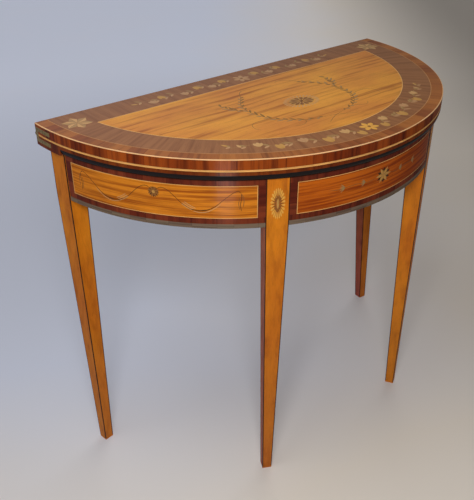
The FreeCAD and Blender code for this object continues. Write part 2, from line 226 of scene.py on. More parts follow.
def slab(plan, over):
    """Closed flat sheet over a grid of plan points, up from the veneer's underside; pattern by plan."""
    uv = plan - np.array([0.0, CENTRE_Y])
    upper, lower = (np.concatenate([plan, np.full(plan.shape[:2] + (1,), height)], axis=-1)
                    for height in (over, TOP_UNDER))
    return thick(upper, lower, uv)


def ring_slab(inner, outer, over, half=QUARTER):
    """Flat ring: radius from inner to outer, angle to both sides of the front; pattern along and across."""
    angle, radius = crossed(np.linspace(-half, half, RING_STEPS[0]), np.linspace(inner, outer, RING_STEPS[1]))
    uv = stacked(angle * outer, radius - inner)
    return thick(at_arc(radius, angle, over), at_arc(radius, angle, TOP_UNDER), uv)


def curved_strip(inner, outer, bottom, top, start, stop, upright=False):
    """Bent board: angle from start to stop, height from bottom to top, faces at the outer and inner radius.
    The pattern's first direction runs along the strip: round the curve, or up where the strip is upright."""
    steps = max(BOARD_STEPS[0], int(abs(stop - start) / ARC_STEP))
    angle, height = crossed(np.linspace(start, stop, steps), np.linspace(bottom, top, BOARD_STEPS[1]))
    uv = stacked(angle * outer, height)
    if upright:
        uv = uv[..., ::-1]
    return thick(at_arc(outer, angle, height), at_arc(inner, angle, height), uv)


def swept(profile, half):
    """Ring of one section: a closed outline of (radius, height) points, counter-clockwise, carried round
    the curve to both sides of the front, with a fan of triangles over each end."""
    closed = np.concatenate([profile, profile[:1]])
    run = np.concatenate([[0.0], np.cumsum(np.linalg.norm(np.diff(closed, axis=0), axis=1))])
    angle = np.linspace(-half, half, SWEEP_STEPS)[:, None]
    points = at_arc(closed[None, :, 0], angle, closed[None, :, 1])
    uv = stacked(*np.broadcast_arrays(angle * closed[:, 0].max(), run[None, :]))
    sheets = [(points, uv)]
    middle = profile.mean(axis=0)
    for end, order in ((-half, 1), (half, -1)):
        rim = at_arc(closed[::order, 0], end, closed[::order, 1])
        hub = np.broadcast_to(at_arc(middle[0], end, middle[1]), rim.shape)
        flat = np.stack([closed[::order], np.broadcast_to(middle, closed.shape)], axis=1)
        sheets.append((np.stack([rim, hub], axis=1), flat))
    return sheets


def rounded_section(inner, outer, bottom, top, low_round, high_round):
    """Section outline with a square inner side and quarter-round outer corners: each corner is its centre
    plus its radius times the cosine and sine of a turning angle."""
    turn = np.linspace(0.0, QUARTER, ARRIS_STEPS)
    lower = stacked(outer - low_round + low_round * np.sin(turn),
                    bottom + low_round - low_round * np.cos(turn))
    upper = stacked(outer - high_round + high_round * np.cos(turn),
                    top - high_round + high_round * np.sin(turn))
    corners = np.array([[inner, top], [inner, bottom]])
    return np.concatenate([lower, upper, corners])


def moon_plan(radius, back):
    """Half-moon grid: across from tip to tip, and for each step back from the curve to the straight side."""
    tip = math.sqrt(radius ** 2 - back ** 2)
    across = tip * np.sin(np.linspace(-QUARTER, QUARTER, MOON_STEPS[0]))
    share = np.linspace(0.0, 1.0, MOON_STEPS[1])
    front = -np.sqrt(np.maximum(radius ** 2 - across ** 2, back ** 2))
    depth = front[:, None] + (back - front[:, None]) * share
    return stacked(np.broadcast_to(across[:, None], depth.shape), depth + CENTRE_Y)


def rectangle_plan(half, front, back):
    """Rectangular grid of plan points, to both sides of the middle line."""
    across, depth = crossed(np.linspace(-half, half, RECTANGLE_STEPS[0]),
                            np.linspace(front, back, RECTANGLE_STEPS[1]))
    return stacked(across, depth + CENTRE_Y)


def mesh_object(name, sheets, crease):
    """Object from grids of points with their pattern coordinates: quads between neighbouring points, seams
    merged, shaded smooth except over creases."""
    points, quads, patterns = [], [], []
    start = 0
    for grid, uv in sheets:
        rows, columns = grid.shape[-3:-1]
        flat = grid.reshape(-1, 3)
        index = start + np.arange(len(flat)).reshape(-1, rows, columns)
        corners = (index[:, :-1, :-1], index[:, 1:, :-1], index[:, 1:, 1:], index[:, :-1, 1:])
        quads.append(stacked(*corners).reshape(-1, 4))
        points.append(flat)
        patterns.append(np.broadcast_to(uv, grid.shape[:-1] + (2,)).reshape(-1, 2))
        start += len(flat)
    mesh = bpy.data.meshes.new(name)
    mesh.from_pydata(np.concatenate(points).tolist(), [], np.concatenate(quads).tolist())
    corner_points = np.empty(len(mesh.loops), dtype=np.int32)
    mesh.loops.foreach_get("vertex_index", corner_points)
    layer = mesh.uv_layers.new(name="UVMap")
    layer.data.foreach_set("uv", np.concatenate(patterns)[corner_points].astype(np.float32).ravel())
    work = bmesh.new()
    work.from_mesh(mesh)
    bmesh.ops.remove_doubles(work, verts=work.verts, dist=WELD)
    bmesh.ops.dissolve_degenerate(work, edges=work.edges, dist=SLIVER)
    work.to_mesh(mesh)
    work.free()
    mesh.shade_smooth()
    mesh.set_sharp_from_angle(angle=math.radians(crease))
    piece = bpy.data.objects.new(name, mesh)
    bpy.context.scene.collection.objects.link(piece)
    return piece


def add_piece(name, sheets, body, slot, finish, nodes=(), crease=CREASE):
    """Makes a piece with its finish, attaches it to its body, and hides the CAD nodes that it stands for."""
    piece = mesh_object(name, sheets, crease)
    piece.data.materials.append(material(finish))
    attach(piece, body)
    if nodes:
        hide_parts(*nodes)


def dress(finish, *nodes):
    """Gives CAD nodes a finish."""
    for node in nodes:
        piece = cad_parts[node]
        if not piece.material_slots:
            piece.data.materials.append(material(finish))
        for place in piece.material_slots:
            place.material = material(finish)


# Inlay: flat patterns in millimetres, laid on the top, the frieze or a leg

# Places of the points along and across a petal, across a line, and out from an oval's middle; how many petals
# lie one under the other and how much lower each does; and the rays of an oval
PETAL_ALONG = np.array([0.0, 0.05, 0.15, 0.3, 0.45, 0.6, 0.75, 0.88, 0.96, 1.0])
PETAL_ACROSS = np.array([-1.0, -0.9, -0.02, 0.02, 0.9, 1.0])
HALF_PETAL_ACROSS = np.array([0.0, 0.05, 0.5, 0.9, 1.0])
LINE_ACROSS = np.array([-1.0, -0.8, 0.8, 1.0])
OVAL_OUT = np.array([0.0, 0.5, 0.93, 1.0])
PETAL_LAYERS, PETAL_STACK = 5, 0.06
OVAL_RAYS = 25


def petals(base, turn, reach, width, belly=0.45, point=0.8, kite=False, half_of=0):
    """Leaf shapes: s runs along each one and t across it. The half width is the sine of half a turn of s,
    bent so that the widest place lies at the belly and raised to a power for its point, or for a kite two
    straight slopes. Half of a shape, to one side of its middle line, has t on that side alone. Five in turn
    each lie a little lower than the last."""
    base = np.atleast_2d(np.asarray(base, dtype=float))
    count = len(base)
    turn, reach, width = (np.broadcast_to(np.asarray(v, dtype=float), (count,)) for v in (turn, reach, width))
    along, across = PETAL_ALONG, PETAL_ACROSS
    if half_of:
        across = half_of * HALF_PETAL_ACROSS[::half_of]
    if kite:
        half = np.minimum(along / belly, (1.0 - along) / (1.0 - belly))
    else:
        half = np.sin(math.pi * along ** (math.log(0.5) / math.log(belly))).clip(0.0) ** point
    forward = along[None, :, None] * reach[:, None, None] + 0.0 * across
    sideways = half[None, :, None] * across * width[:, None, None] / 2
    cos, sin = np.cos(turn)[:, None, None], np.sin(turn)[:, None, None]
    plan = stacked(forward * cos - sideways * sin, forward * sin + sideways * cos)
    plan = plan + base[:, None, None, :]
    rim = np.isin(along, (0.0, 1.0))[:, None] | np.isin(across, (-1.0, 0.0, 1.0))
    stack = 1.0 - PETAL_STACK * (np.arange(count) % PETAL_LAYERS)
    lift = np.where(rim, 0.0, 1.0) * stack[:, None, None]
    grid = stacked(*crossed(along, (across + 1.0) / 2))
    return plan, lift, np.broadcast_to(grid, plan.shape)


def smooth_path(points, count):
    """Curve through points: between two of them a cubic whose end slopes are half the step between each
    point's neighbours."""
    points = np.asarray(points, dtype=float)
    place = np.linspace(0.0, len(points) - 1.0, count)
    index = np.clip(place.astype(int), 0, len(points) - 2)
    f = (place - index)[:, None]
    slope = np.gradient(points, axis=0)
    return ((2 * f ** 3 - 3 * f ** 2 + 1) * points[index] + (f ** 3 - 2 * f ** 2 + f) * slope[index]
            + (3 * f ** 2 - 2 * f ** 3) * points[index + 1] + (f ** 3 - f ** 2) * slope[index + 1])


def ribbon(path, width, taper=0.12):
    """Flat line along a path: offset to both sides by half the width, which falls to nothing at the ends."""
    path = np.asarray(path, dtype=float)
    along, across = np.linspace(0.0, 1.0, len(path)), LINE_ACROSS
    heading = np.gradient(path, axis=0)
    heading /= np.linalg.norm(heading, axis=1, keepdims=True)
    side = stacked(-heading[:, 1], heading[:, 0])
    half = width / 2 * np.clip(np.minimum(along, 1.0 - along) / taper, 0.0, 1.0) ** 0.5
    plan = path[:, None, :] + side[:, None, :] * (half[:, None] * across)[..., None]
    lift = np.broadcast_to(np.where(np.abs(across) == 1.0, 0.0, 1.0), plan.shape[:-1])
    grid = stacked(*crossed(along, (across + 1.0) / 2))
    return plan[None], lift[None], grid[None]


def oval_rim(width, height, turn):
    """Points on the rim of an oval."""
    return stacked(width / 2 * np.cos(turn), height / 2 * np.sin(turn))


def even_turns(count, first):
    """Angles at even steps round a full turn."""
    return first + np.arange(count) * FULL_TURN / count


def button(centre, width, height):
    """Oval: an ellipse of rays, from its middle to its rim."""
    turn, share = np.linspace(0.0, FULL_TURN, OVAL_RAYS), OVAL_OUT
    plan = np.asarray(centre, dtype=float) + share[:, None, None] * oval_rim(width, height, turn)
    lift = np.broadcast_to(np.where(share == 1.0, 0.0, 1.0)[:, None], plan.shape[:-1])
    grid = stacked(*crossed(share, turn / FULL_TURN))
    return plan[None], lift[None], grid[None]


def fan(centre, width, height, count, inner, share_width, first=0.0):
    """Rays of an oval: petals from an inner oval, a share of the whole, out to the rim."""
    rim = oval_rim(width, height, even_turns(count, first))
    step = rim * (1.0 - inner)
    reach = np.linalg.norm(step, axis=1)
    spread = np.linalg.norm(np.roll(rim, -1, axis=0) - np.roll(rim, 1, axis=0), axis=1) / 2
    root, heading = np.asarray(centre) + rim * inner, np.arctan2(step[:, 1], step[:, 0])
    return petals(root, heading, reach, spread * share_width, belly=0.72, point=0.7)


def cluster(centre, turns, reach, width, **shape):
    """Petals that share one root."""
    root = np.broadcast_to(np.asarray(centre, dtype=float), (len(turns), 2))
    return petals(root, turns, reach, width, **shape)


def flower(centre, reach, width, count, first=0.0, **shape):
    """Petals round a middle at even angles."""
    return cluster(centre, even_turns(count, first), reach, width, **shape)


def tulip(centre, turn, reach):
    """Three narrow petals side by side, opening from one base."""
    turns, lengths = turn + np.array([-0.42, 0.0, 0.42]), np.array([0.92, 1.0, 0.92]) * reach
    return cluster(centre, turns, lengths, reach * 0.42, belly=0.62, point=0.7)


def heart(centre, turn, reach):
    """Two round halves that meet in a point."""
    return cluster(centre, turn + np.array([-0.25, 0.25]), reach, reach * 0.56, belly=0.45, point=0.6)


def mirrored(patch):
    """The same pattern on the other side of the middle line, its rows reversed so that it still faces out."""
    plan, lift, grid = patch
    return plan[..., ::-1, :, :] * np.array([-1.0, 1.0]), lift[..., ::-1, :], grid[..., ::-1, :, :]


def both(patches):
    """Patterns together with their mirror images."""
    return patches + [mirrored(patch) for patch in patches]


def polar(angle, radius):
    """Plan point in millimetres on the top, by its angle from the front in degrees and its radius."""
    turn = np.radians(angle)
    return stacked(radius * np.sin(turn), -radius * np.cos(turn))


def inlay_height(lift, layer):
    """Height of inlay over its ground: sunk at the rim, raised inside by its layer's share of the rise."""
    s = sizes()
    return lift * (s.inlay_rise * layer + s.inlay_sink) - s.inlay_sink


def on_top(plan, lift, layer):
    """Lays a pattern on the top: across and back from the middle of the back edge."""
    height = TOP - sizes().veneer_drop + inlay_height(lift, layer)
    return stacked(plan[..., 0] * MM, CENTRE_Y + plan[..., 1] * MM, height)


def on_frieze(plan, lift, layer, shift=0.0):
    """Lays a pattern on the frieze: length along the curve from the front, and height under the top."""
    radius = FRIEZE_RADIUS + inlay_height(lift, layer)
    return at_arc(radius, (plan[..., 0] + shift) * MM / FRIEZE_RADIUS, TOP + plan[..., 1] * MM)


def on_front_leg(plan, lift, layer, side):
    """Lays a pattern on the flat outer face of a front leg: across it, and height under the top."""
    angle = side * sizes().front_leg_angle
    radius = sizes().leg_face + inlay_height(lift, layer)
    across = plan[..., 0] * MM
    points = at_arc(radius, angle, TOP + plan[..., 1] * MM)
    return points + across[..., None] * np.array([math.cos(angle), math.sin(angle), 0.0])


# Material slot for each wood of the inlay
INLAY_SLOTS = {
    "inlay_pale": "pale_line", "inlay_pale_shaded": "pale_line", "inlay_gold": "pale_line",
    "inlay_bright": "pale_line", "inlay_rose": "pale_line", "inlay_brown": "flower_band",
    "inlay_leaf": "flower_band", "inlay_olive": "flower_band", "inlay_dark": "ebonised",
    "fan_ground": "satinwood",
}


def lay_inlay(ground, body, pieces, *place):
    """Makes inlay pieces on one ground. Each row gives a name, its patterns, its wood, and its layer over
    the others as a share of the inlay's rise."""
    for name, patches, finish, layer in pieces:
        sheets = [(ground(plan, lift, layer, *place), grid) for plan, lift, grid in patches]
        add_piece(name, sheets, body, INLAY_SLOTS[finish], finish, crease=INLAY_CREASE)


# Shader nodes

def fill(tree, socket, value):
    """Links an output to a socket, or sets the socket to a plain value."""
    if isinstance(value, bpy.types.NodeSocket):
        tree.links.new(value, socket)
    else:
        socket.default_value = value


def add_node(tree, kind, values=None, **settings):
    """Adds a shader node, sets its settings, and fills its inputs with values or links."""
    node = tree.nodes.new("ShaderNode" + kind)
    for name, value in settings.items():
        setattr(node, name, value)
    for key, value in (values or {}).items():
        fill(tree, node.inputs[key], value)
    return node


def maths(tree, operation, first, second=0.0, clamp=False):
    return add_node(tree, "Math", {0: first, 1: second}, operation=operation, use_clamp=clamp).outputs[0]


def plus(tree, first, second, clamp=False):
    return maths(tree, "ADD", first, second, clamp)


def minus(tree, first, second):
    return maths(tree, "SUBTRACT", first, second)


def times(tree, first, second):
    return maths(tree, "MULTIPLY", first, second)


def ramp(tree, value, start, stop, to_low=0.0, to_high=1.0):
    """Smooth step of a value between two limits."""
    values = {"Value": value, "From Min": start, "From Max": stop, "To Min": to_low, "To Max": to_high}
    return add_node(tree, "MapRange", values, interpolation_type="SMOOTHSTEP").outputs["Result"]


def blend_colour(tree, share, first, second, mode="MIX"):
    """Mix of two colours, through the sockets that a mix of colours uses: its share and its two sides."""
    values = {0: share, 6: first, 7: second}
    return add_node(tree, "Mix", values, data_type="RGBA", blend_type=mode).outputs[2]


def toned(tree, shade, tone):
    """Colour multiplied by another one."""
    return blend_colour(tree, 1.0, shade, tone, "MULTIPLY")


def noise(tree, vector, scale, detail=2.0, roughness=0.5):
    values = {"Vector": vector, "Scale": scale, "Detail": detail, "Roughness": roughness}
    return add_node(tree, "TexNoise", values).outputs[0]


def joined(tree, x, y, z):
    return add_node(tree, "CombineXYZ", {0: x, 1: y, 2: z}).outputs[0]


def split(tree, vector):
    return add_node(tree, "SeparateXYZ", {0: vector}).outputs


def vectors(tree, operation, first, second=(0.0, 0.0, 0.0), output="Vector"):
    return add_node(tree, "VectorMath", {0: first, 1: second}, operation=operation).outputs[output]


def rgba(values):
    return (*values, 1.0)


def tinted(values, share):
    return tuple(value * share for value in values)


def changed(amount, changes):
    """Tint whose parts differ from white by an amount times their changes."""
    return rgba([1.0 + amount * change for change in changes])


def new_group(name, inputs, outputs):
    """Empty shader group: each input is a name, a kind and a default, and each output gives a value."""
    group = bpy.data.node_groups.new(name, "ShaderNodeTree")
    for label, kind, default in inputs:
        socket = group.interface.new_socket(name=label, in_out="INPUT", socket_type="NodeSocket" + kind)
        if default is not None:
            socket.default_value = default
    for label in outputs:
        group.interface.new_socket(name=label, in_out="OUTPUT", socket_type="NodeSocketFloat")
    return group, group.nodes.new("NodeGroupInput").outputs, group.nodes.new("NodeGroupOutput").inputs


# Grain: slow drift, fine lines and pores in a metre, along it and across it, and the noise that makes a pore
DRIFTS = 7.0
LINES_ALONG, LINES_ACROSS = 9.0, 620.0
PORES_ALONG, PORES_ACROSS = 60.0, 1500.0
PORE_RANGE = (0.6, 0.72)


def grain_group():
    """Wood grain from coordinates in metres, the first along the grain: a slow figure, lines and pores."""
    group, given, result = new_group(
        "wood_grain",
        [("Vector", "Vector", None), ("Figure Width", "Float", 0.02), ("Figure Length", "Float", 0.5),
         ("Waviness", "Float", 0.006)],
        ["Figure", "Lines", "Pores"])
    along, across, depth = split(group, given["Vector"])
    drift = minus(group, noise(group, given["Vector"], DRIFTS, 2.0), 0.5)
    sway = times(group, drift, given["Waviness"])
    sides = [plus(group, across, sway), plus(group, depth, sway)]
    figure = joined(group, maths(group, "DIVIDE", along, given["Figure Length"]),
                    *(maths(group, "DIVIDE", side, given["Figure Width"]) for side in sides))
    fine, short = (joined(group, times(group, along, far), *(times(group, side, wide) for side in sides))
                   for far, wide in ((LINES_ALONG, LINES_ACROSS), (PORES_ALONG, PORES_ACROSS)))
    fill(group, result["Figure"], noise(group, figure, 1.0, 4.0, 0.55))
    fill(group, result["Lines"], noise(group, fine, 1.0, 3.0, 0.6))
    fill(group, result["Pores"], ramp(group, noise(group, short, 1.0, 1.0), *PORE_RANGE))
    return group


# Pieces of banding: how often and how far their ends stray, and the joint, in shares from a piece's middle
STRAY_RATE, STRAY, STRAY_PLACE = 0.45, 1.6, (3.7, 1.3)
JOINT_RANGE = (0.485, 0.5)


def segment_group():
    """Pieces laid end to end: from a length along a strip, each piece's own tone, and the dark joints."""
    group, given, result = new_group("veneer_pieces", [("Along", "Float", 0.0), ("Piece", "Float", 0.04)],
                                     ["Tone", "Joint"])
    count = maths(group, "DIVIDE", given["Along"], given["Piece"])
    sway = noise(group, joined(group, times(group, count, STRAY_RATE), *STRAY_PLACE), 1.0, 1.0)
    count = plus(group, count, times(group, sway, STRAY))
    tone = add_node(group, "TexWhiteNoise", {"W": maths(group, "FLOOR", count)}, noise_dimensions="1D")
    fill(group, result["Tone"], tone.outputs[0])
    edge = maths(group, "ABSOLUTE", minus(group, maths(group, "FRACT", count), 0.5))
    fill(group, result["Joint"], ramp(group, edge, *JOINT_RANGE))
    return group


# Polish: clouds and rubbing marks in a metre, how far each changes the roughness, and which clouds are dusty
POLISH_CLOUDS, RUBBINGS = 9.0, 260.0
CLOUD_SPREAD, RUB_SPREAD = 0.12, 0.06
DUST_RANGE = (0.45, 0.75)


def polish_group():
    """Old hand polish: slow clouding and fine rubbing marks, as a roughness, and a faint mask of dust."""
    group, given, result = new_group(
        "hand_polish", [("Vector", "Vector", None), ("Roughness", "Float", POLISHED)],
        ["Roughness", "Haze"])
    cloud = noise(group, given["Vector"], POLISH_CLOUDS, 3.0)
    rub = noise(group, given["Vector"], RUBBINGS, 2.0)
    spread = plus(group, times(group, cloud, CLOUD_SPREAD), times(group, rub, RUB_SPREAD))
    centred = minus(group, spread, (CLOUD_SPREAD + RUB_SPREAD) / 2)
    fill(group, result["Roughness"], plus(group, given["Roughness"], centred))
    fill(group, result["Haze"], ramp(group, cloud, *DUST_RANGE))
    return group


# Sand shading: where it fades from a piece's root and edge, and between which shades; blots in a metre, and
# the least and the added share that they leave of it
ROOT_FADE, EDGE_FADE = (0.0, 0.4, 0.8, 0.0), (0.5, 0.0, 0.0, 0.75)
BLOTS, BLOT_LEAST, BLOT_MORE = 180.0, 0.6, 0.8


def scorch_group():
    """Sand shading of inlay: from places along and across a piece, darker at its root and along one edge."""
    group, given, result = new_group("sand_shading", [("Along", "Float", 0.0), ("Across", "Float", 0.5),
                                                      ("Vector", "Vector", None)], ["Shade"])
    root = ramp(group, given["Along"], *ROOT_FADE)
    edge = ramp(group, given["Across"], *EDGE_FADE)
    blot = plus(group, BLOT_LEAST, times(group, noise(group, given["Vector"], BLOTS, 2.0), BLOT_MORE))
    darkest = maths(group, "MAXIMUM", root, edge)
    fill(group, result["Shade"], maths(group, "MULTIPLY", darkest, blot, clamp=True))
    return group


GROUPS = {}


def use_group(tree, maker, values):
    """Places a shared group in a material, making it the first time."""
    if maker not in GROUPS:
        GROUPS[maker] = maker()
    return add_node(tree, "Group", values, node_tree=GROUPS[maker]).outputs


# Materials

# Roughness of polish, clear coats and their roughness; haze; reliefs in metres and their strength; shares of
# the grain's parts and of the joints, and the shades of pores and joints
POLISHED, COAT, TOP_COAT, COAT_ROUGHNESS = 0.25, 0.25, 0.4, 0.16
HAZE_DEPTH, HAZE_TONE = 0.25, 0.7
GRAIN_RELIEF, METAL_RELIEF, FLOOR_RELIEF = 0.06 * MM, 0.04 * MM, 0.1 * MM
RELIEF_STRENGTH = 0.5
LINE_DEPTH, PORE_DEPTH, JOINT_DEPTH = 0.45, 0.3, 0.45
PORE_SHADE, JOINT_SHADE = 0.55, 0.4
# How far the grain jumps from piece to piece, and the changes of red and golden pieces; clouds of tone in a
# metre, their share along the grain, and the changes of golden and brown ones; and the tint of the painted
# shade that makes one end darker and redder
PIECE_JUMP, RED_PIECE, GOLD_PIECE = 7.0, (-1.0, -1.5, -1.5), (1.0, 1.5, 1.0)
TONE_CLOUDS, TONE_ALONG, TONE_RANGE = 9.0, 0.5, (0.3, 0.7)
GOLD_CLOUD, BROWN_CLOUD = (0.5, 1.0, 0.0), (-0.7, -1.2, -0.6)
PAINTED_SHADE_END = (0.66, 0.5, 0.42)
# Legs: the tint of painted shade and painted floor reflection at the foot and the height where it begins,
# and how far a plain face looks in or back
FOOT_PAINTED_SHADE, FOOT_BEGINS = (0.91, 0.91, 1.7), 0.5
INWARD, BACKWARD = (0.7, 0.8), (0.3, 0.4)
# Inlay: its grain in metres and the grain's share. Metal: clouds and scratches in a metre, and tarnish
INLAY_GRAIN = {"Figure Width": 0.004, "Figure Length": 0.05, "Waviness": 0.002}
INLAY_FIGURE = 0.25
TARNISHES, SCRATCHES = 320.0, 1400.0
TARNISH_RANGE, TARNISH_DULLS = (0.4, 0.7), 0.25

# Orders of the coordinates, the one along the grain first: upright grain, and grain across a strip
UPRIGHT, ACROSS_STRIP = (2, 0, 1), (1, 0, 2)


def new_material(name):
    """Material with one shader, and the outputs of its coordinates."""
    made = bpy.data.materials.new(name)
    made.use_nodes = True
    tree = made.node_tree
    return made, tree, tree.nodes["Principled BSDF"].inputs, tree.nodes.new("ShaderNodeTexCoord").outputs


def set_relief(tree, sockets, height, distance):
    bump = add_node(tree, "Bump", {"Height": height, "Strength": RELIEF_STRENGTH, "Distance": distance})
    fill(tree, sockets["Normal"], bump.outputs[0])


def clouded(tree, shade, place, amount):
    """Slow clouds of golden and brown tone, drawn out along the grain to twice their width."""
    along, across, depth = split(tree, place)
    drift = noise(tree, joined(tree, times(tree, along, TONE_ALONG), across, depth), TONE_CLOUDS, 3.0)
    tones = (changed(amount, changes) for changes in (GOLD_CLOUD, BROWN_CLOUD))
    return toned(tree, shade, blend_colour(tree, ramp(tree, drift, *TONE_RANGE), *tones))


def pieced(tree, shade, pieces, tone, dark):
    """Pieces between a red and a golden tone, with dark joints."""
    tones = (changed(tone, changes) for changes in (RED_PIECE, GOLD_PIECE))
    shade = toned(tree, shade, blend_colour(tree, pieces["Tone"], *tones))
    joint = times(tree, pieces["Joint"], JOINT_DEPTH)
    return blend_colour(tree, joint, shade, rgba(tinted(dark, JOINT_SHADE)))


def wood_shade(tree, place, light, dark, order=(0, 1, 2), width=0.02, reach=0.5, waviness=0.006,
               streak=(0.42, 0.72), piece=0.0, tone=0.0, cloud=0.0, redder=None):
    """Colour and relief of wood: two colours mixed by the figure and fine lines, darker pores, slow clouds of
    tone, painted shade that makes one end darker and redder where it is asked for, and where it is laid in
    pieces a tone for each and a joint."""
    parts = split(tree, place)
    grain_place = joined(tree, *(parts[index] for index in order))
    if piece > 0.0:
        pieces = use_group(tree, segment_group, {"Along": parts[0], "Piece": piece})
        jump = joined(tree, 0.0, 0.0, times(tree, pieces["Tone"], PIECE_JUMP))
        grain_place = vectors(tree, "ADD", grain_place, jump)
    grain = use_group(tree, grain_group, {"Vector": grain_place, "Figure Width": width,
                                          "Figure Length": reach, "Waviness": waviness})
    lines = times(tree, minus(tree, grain["Lines"], 0.5), LINE_DEPTH)
    share = plus(tree, ramp(tree, grain["Figure"], *streak), lines, clamp=True)
    shade = blend_colour(tree, share, rgba(light), rgba(dark))
    if cloud > 0.0:
        shade = clouded(tree, shade, grain_place, cloud)
    # Painted shade: darker and redder towards one end of the piece
    if redder:
        shade = blend_colour(tree, ramp(tree, parts[0], *redder), shade, toned(tree, shade, rgba(PAINTED_SHADE_END)))
    if piece > 0.0:
        shade = pieced(tree, shade, pieces, tone, dark)
    pores = times(tree, grain["Pores"], PORE_DEPTH)
    shade = blend_colour(tree, pores, shade, rgba(tinted(dark, PORE_SHADE)))
    return shade, minus(tree, grain["Lines"], grain["Pores"])


def finish_wood(tree, sockets, place, shade, relief, roughness=POLISHED, coat=COAT):
    """Polish over a wood's colour: clouded roughness under a thin clear coat, a little haze, and its grain
    as a faint relief."""
    polish = use_group(tree, polish_group, {"Vector": place, "Roughness": roughness})
    dull = toned(tree, shade, rgba([HAZE_TONE] * 3))
    hazed = blend_colour(tree, times(tree, polish["Haze"], HAZE_DEPTH), shade, dull)
    for name, value in (("Base Color", hazed), ("Roughness", polish["Roughness"]), ("Coat Weight", coat),
                        ("Coat Roughness", COAT_ROUGHNESS), ("Specular IOR Level", 0.0)):
        fill(tree, sockets[name], value)
    set_relief(tree, sockets, relief, GRAIN_RELIEF)


def wood(name, light, dark, source="Object", roughness=POLISHED, coat=COAT, **figure):
    """Polished or plain wood."""
    made, tree, sockets, coordinates = new_material(name)
    shade, relief = wood_shade(tree, coordinates[source], light, dark, **figure)
    finish_wood(tree, sockets, coordinates["Object"], shade, relief, roughness, coat)
    return made


def leg_wood(name, outer_pair, inner_pair, **figure):
    """Wood of the legs: satinwood that grows darker and bluer to the foot with painted shade and painted
    floor reflection, and plain mahogany on the faces that look to the back or to the middle of the half
    circle, found from a face's direction and the way to the middle."""
    made, tree, sockets, coordinates = new_material(name)
    place, facing = coordinates["Object"], coordinates["Normal"]
    shade, relief = wood_shade(tree, place, *outer_pair, **figure)
    inner, _ = wood_shade(tree, place, *inner_pair, **figure)
    level = vectors(tree, "MULTIPLY", vectors(tree, "SUBTRACT", (0.0, CENTRE_Y, 0.0), place), (1.0, 1.0, 0.0))
    inward = vectors(tree, "DOT_PRODUCT", vectors(tree, "NORMALIZE", level), facing, "Value")
    backward = split(tree, facing)[1]
    hidden = maths(tree, "MAXIMUM", ramp(tree, inward, *INWARD), ramp(tree, backward, *BACKWARD))
    shade = blend_colour(tree, hidden, shade, inner)
    # Painted shade and painted floor reflection: darker and bluer towards the foot
    foot = ramp(tree, split(tree, place)[2], FOOT_BEGINS, 0.0)
    shade = blend_colour(tree, foot, shade, toned(tree, shade, rgba(FOOT_PAINTED_SHADE)))
    finish_wood(tree, sockets, place, shade, relief)
    return made


def inlay_wood(name, light, scorch=0.3, depth=0.5):
    """Inlay piece: its own fine grain, scorched from the root and one edge."""
    made, tree, sockets, coordinates = new_material(name)
    place = coordinates["Object"]
    parts = split(tree, coordinates["UV"])
    shade = use_group(tree, scorch_group, {"Along": parts[0], "Across": parts[1], "Vector": place})
    grain = use_group(tree, grain_group, {"Vector": place, **INLAY_GRAIN})
    figure = times(tree, grain["Figure"], INLAY_FIGURE)
    share = plus(tree, times(tree, shade["Shade"], scorch), figure, clamp=True)
    mixed = blend_colour(tree, share, rgba(light), rgba(tinted(light, depth)))
    finish_wood(tree, sockets, place, mixed, grain["Lines"], coat=TOP_COAT)
    return made


def metal(name, tint, tarnish, roughness):
    """Old metal: clear on the high places, brown tarnish in clouds, fine scratches."""
    made, tree, sockets, coordinates = new_material(name)
    cloud = ramp(tree, noise(tree, coordinates["Object"], TARNISHES, 4.0), *TARNISH_RANGE)
    fill(tree, sockets["Base Color"], blend_colour(tree, cloud, rgba(tint), rgba(tarnish)))
    fill(tree, sockets["Metallic"], 1.0)
    fill(tree, sockets["Roughness"], plus(tree, roughness, times(tree, cloud, TARNISH_DULLS)))
    set_relief(tree, sockets, noise(tree, coordinates["Object"], SCRATCHES, 2.0), METAL_RELIEF)
    return made


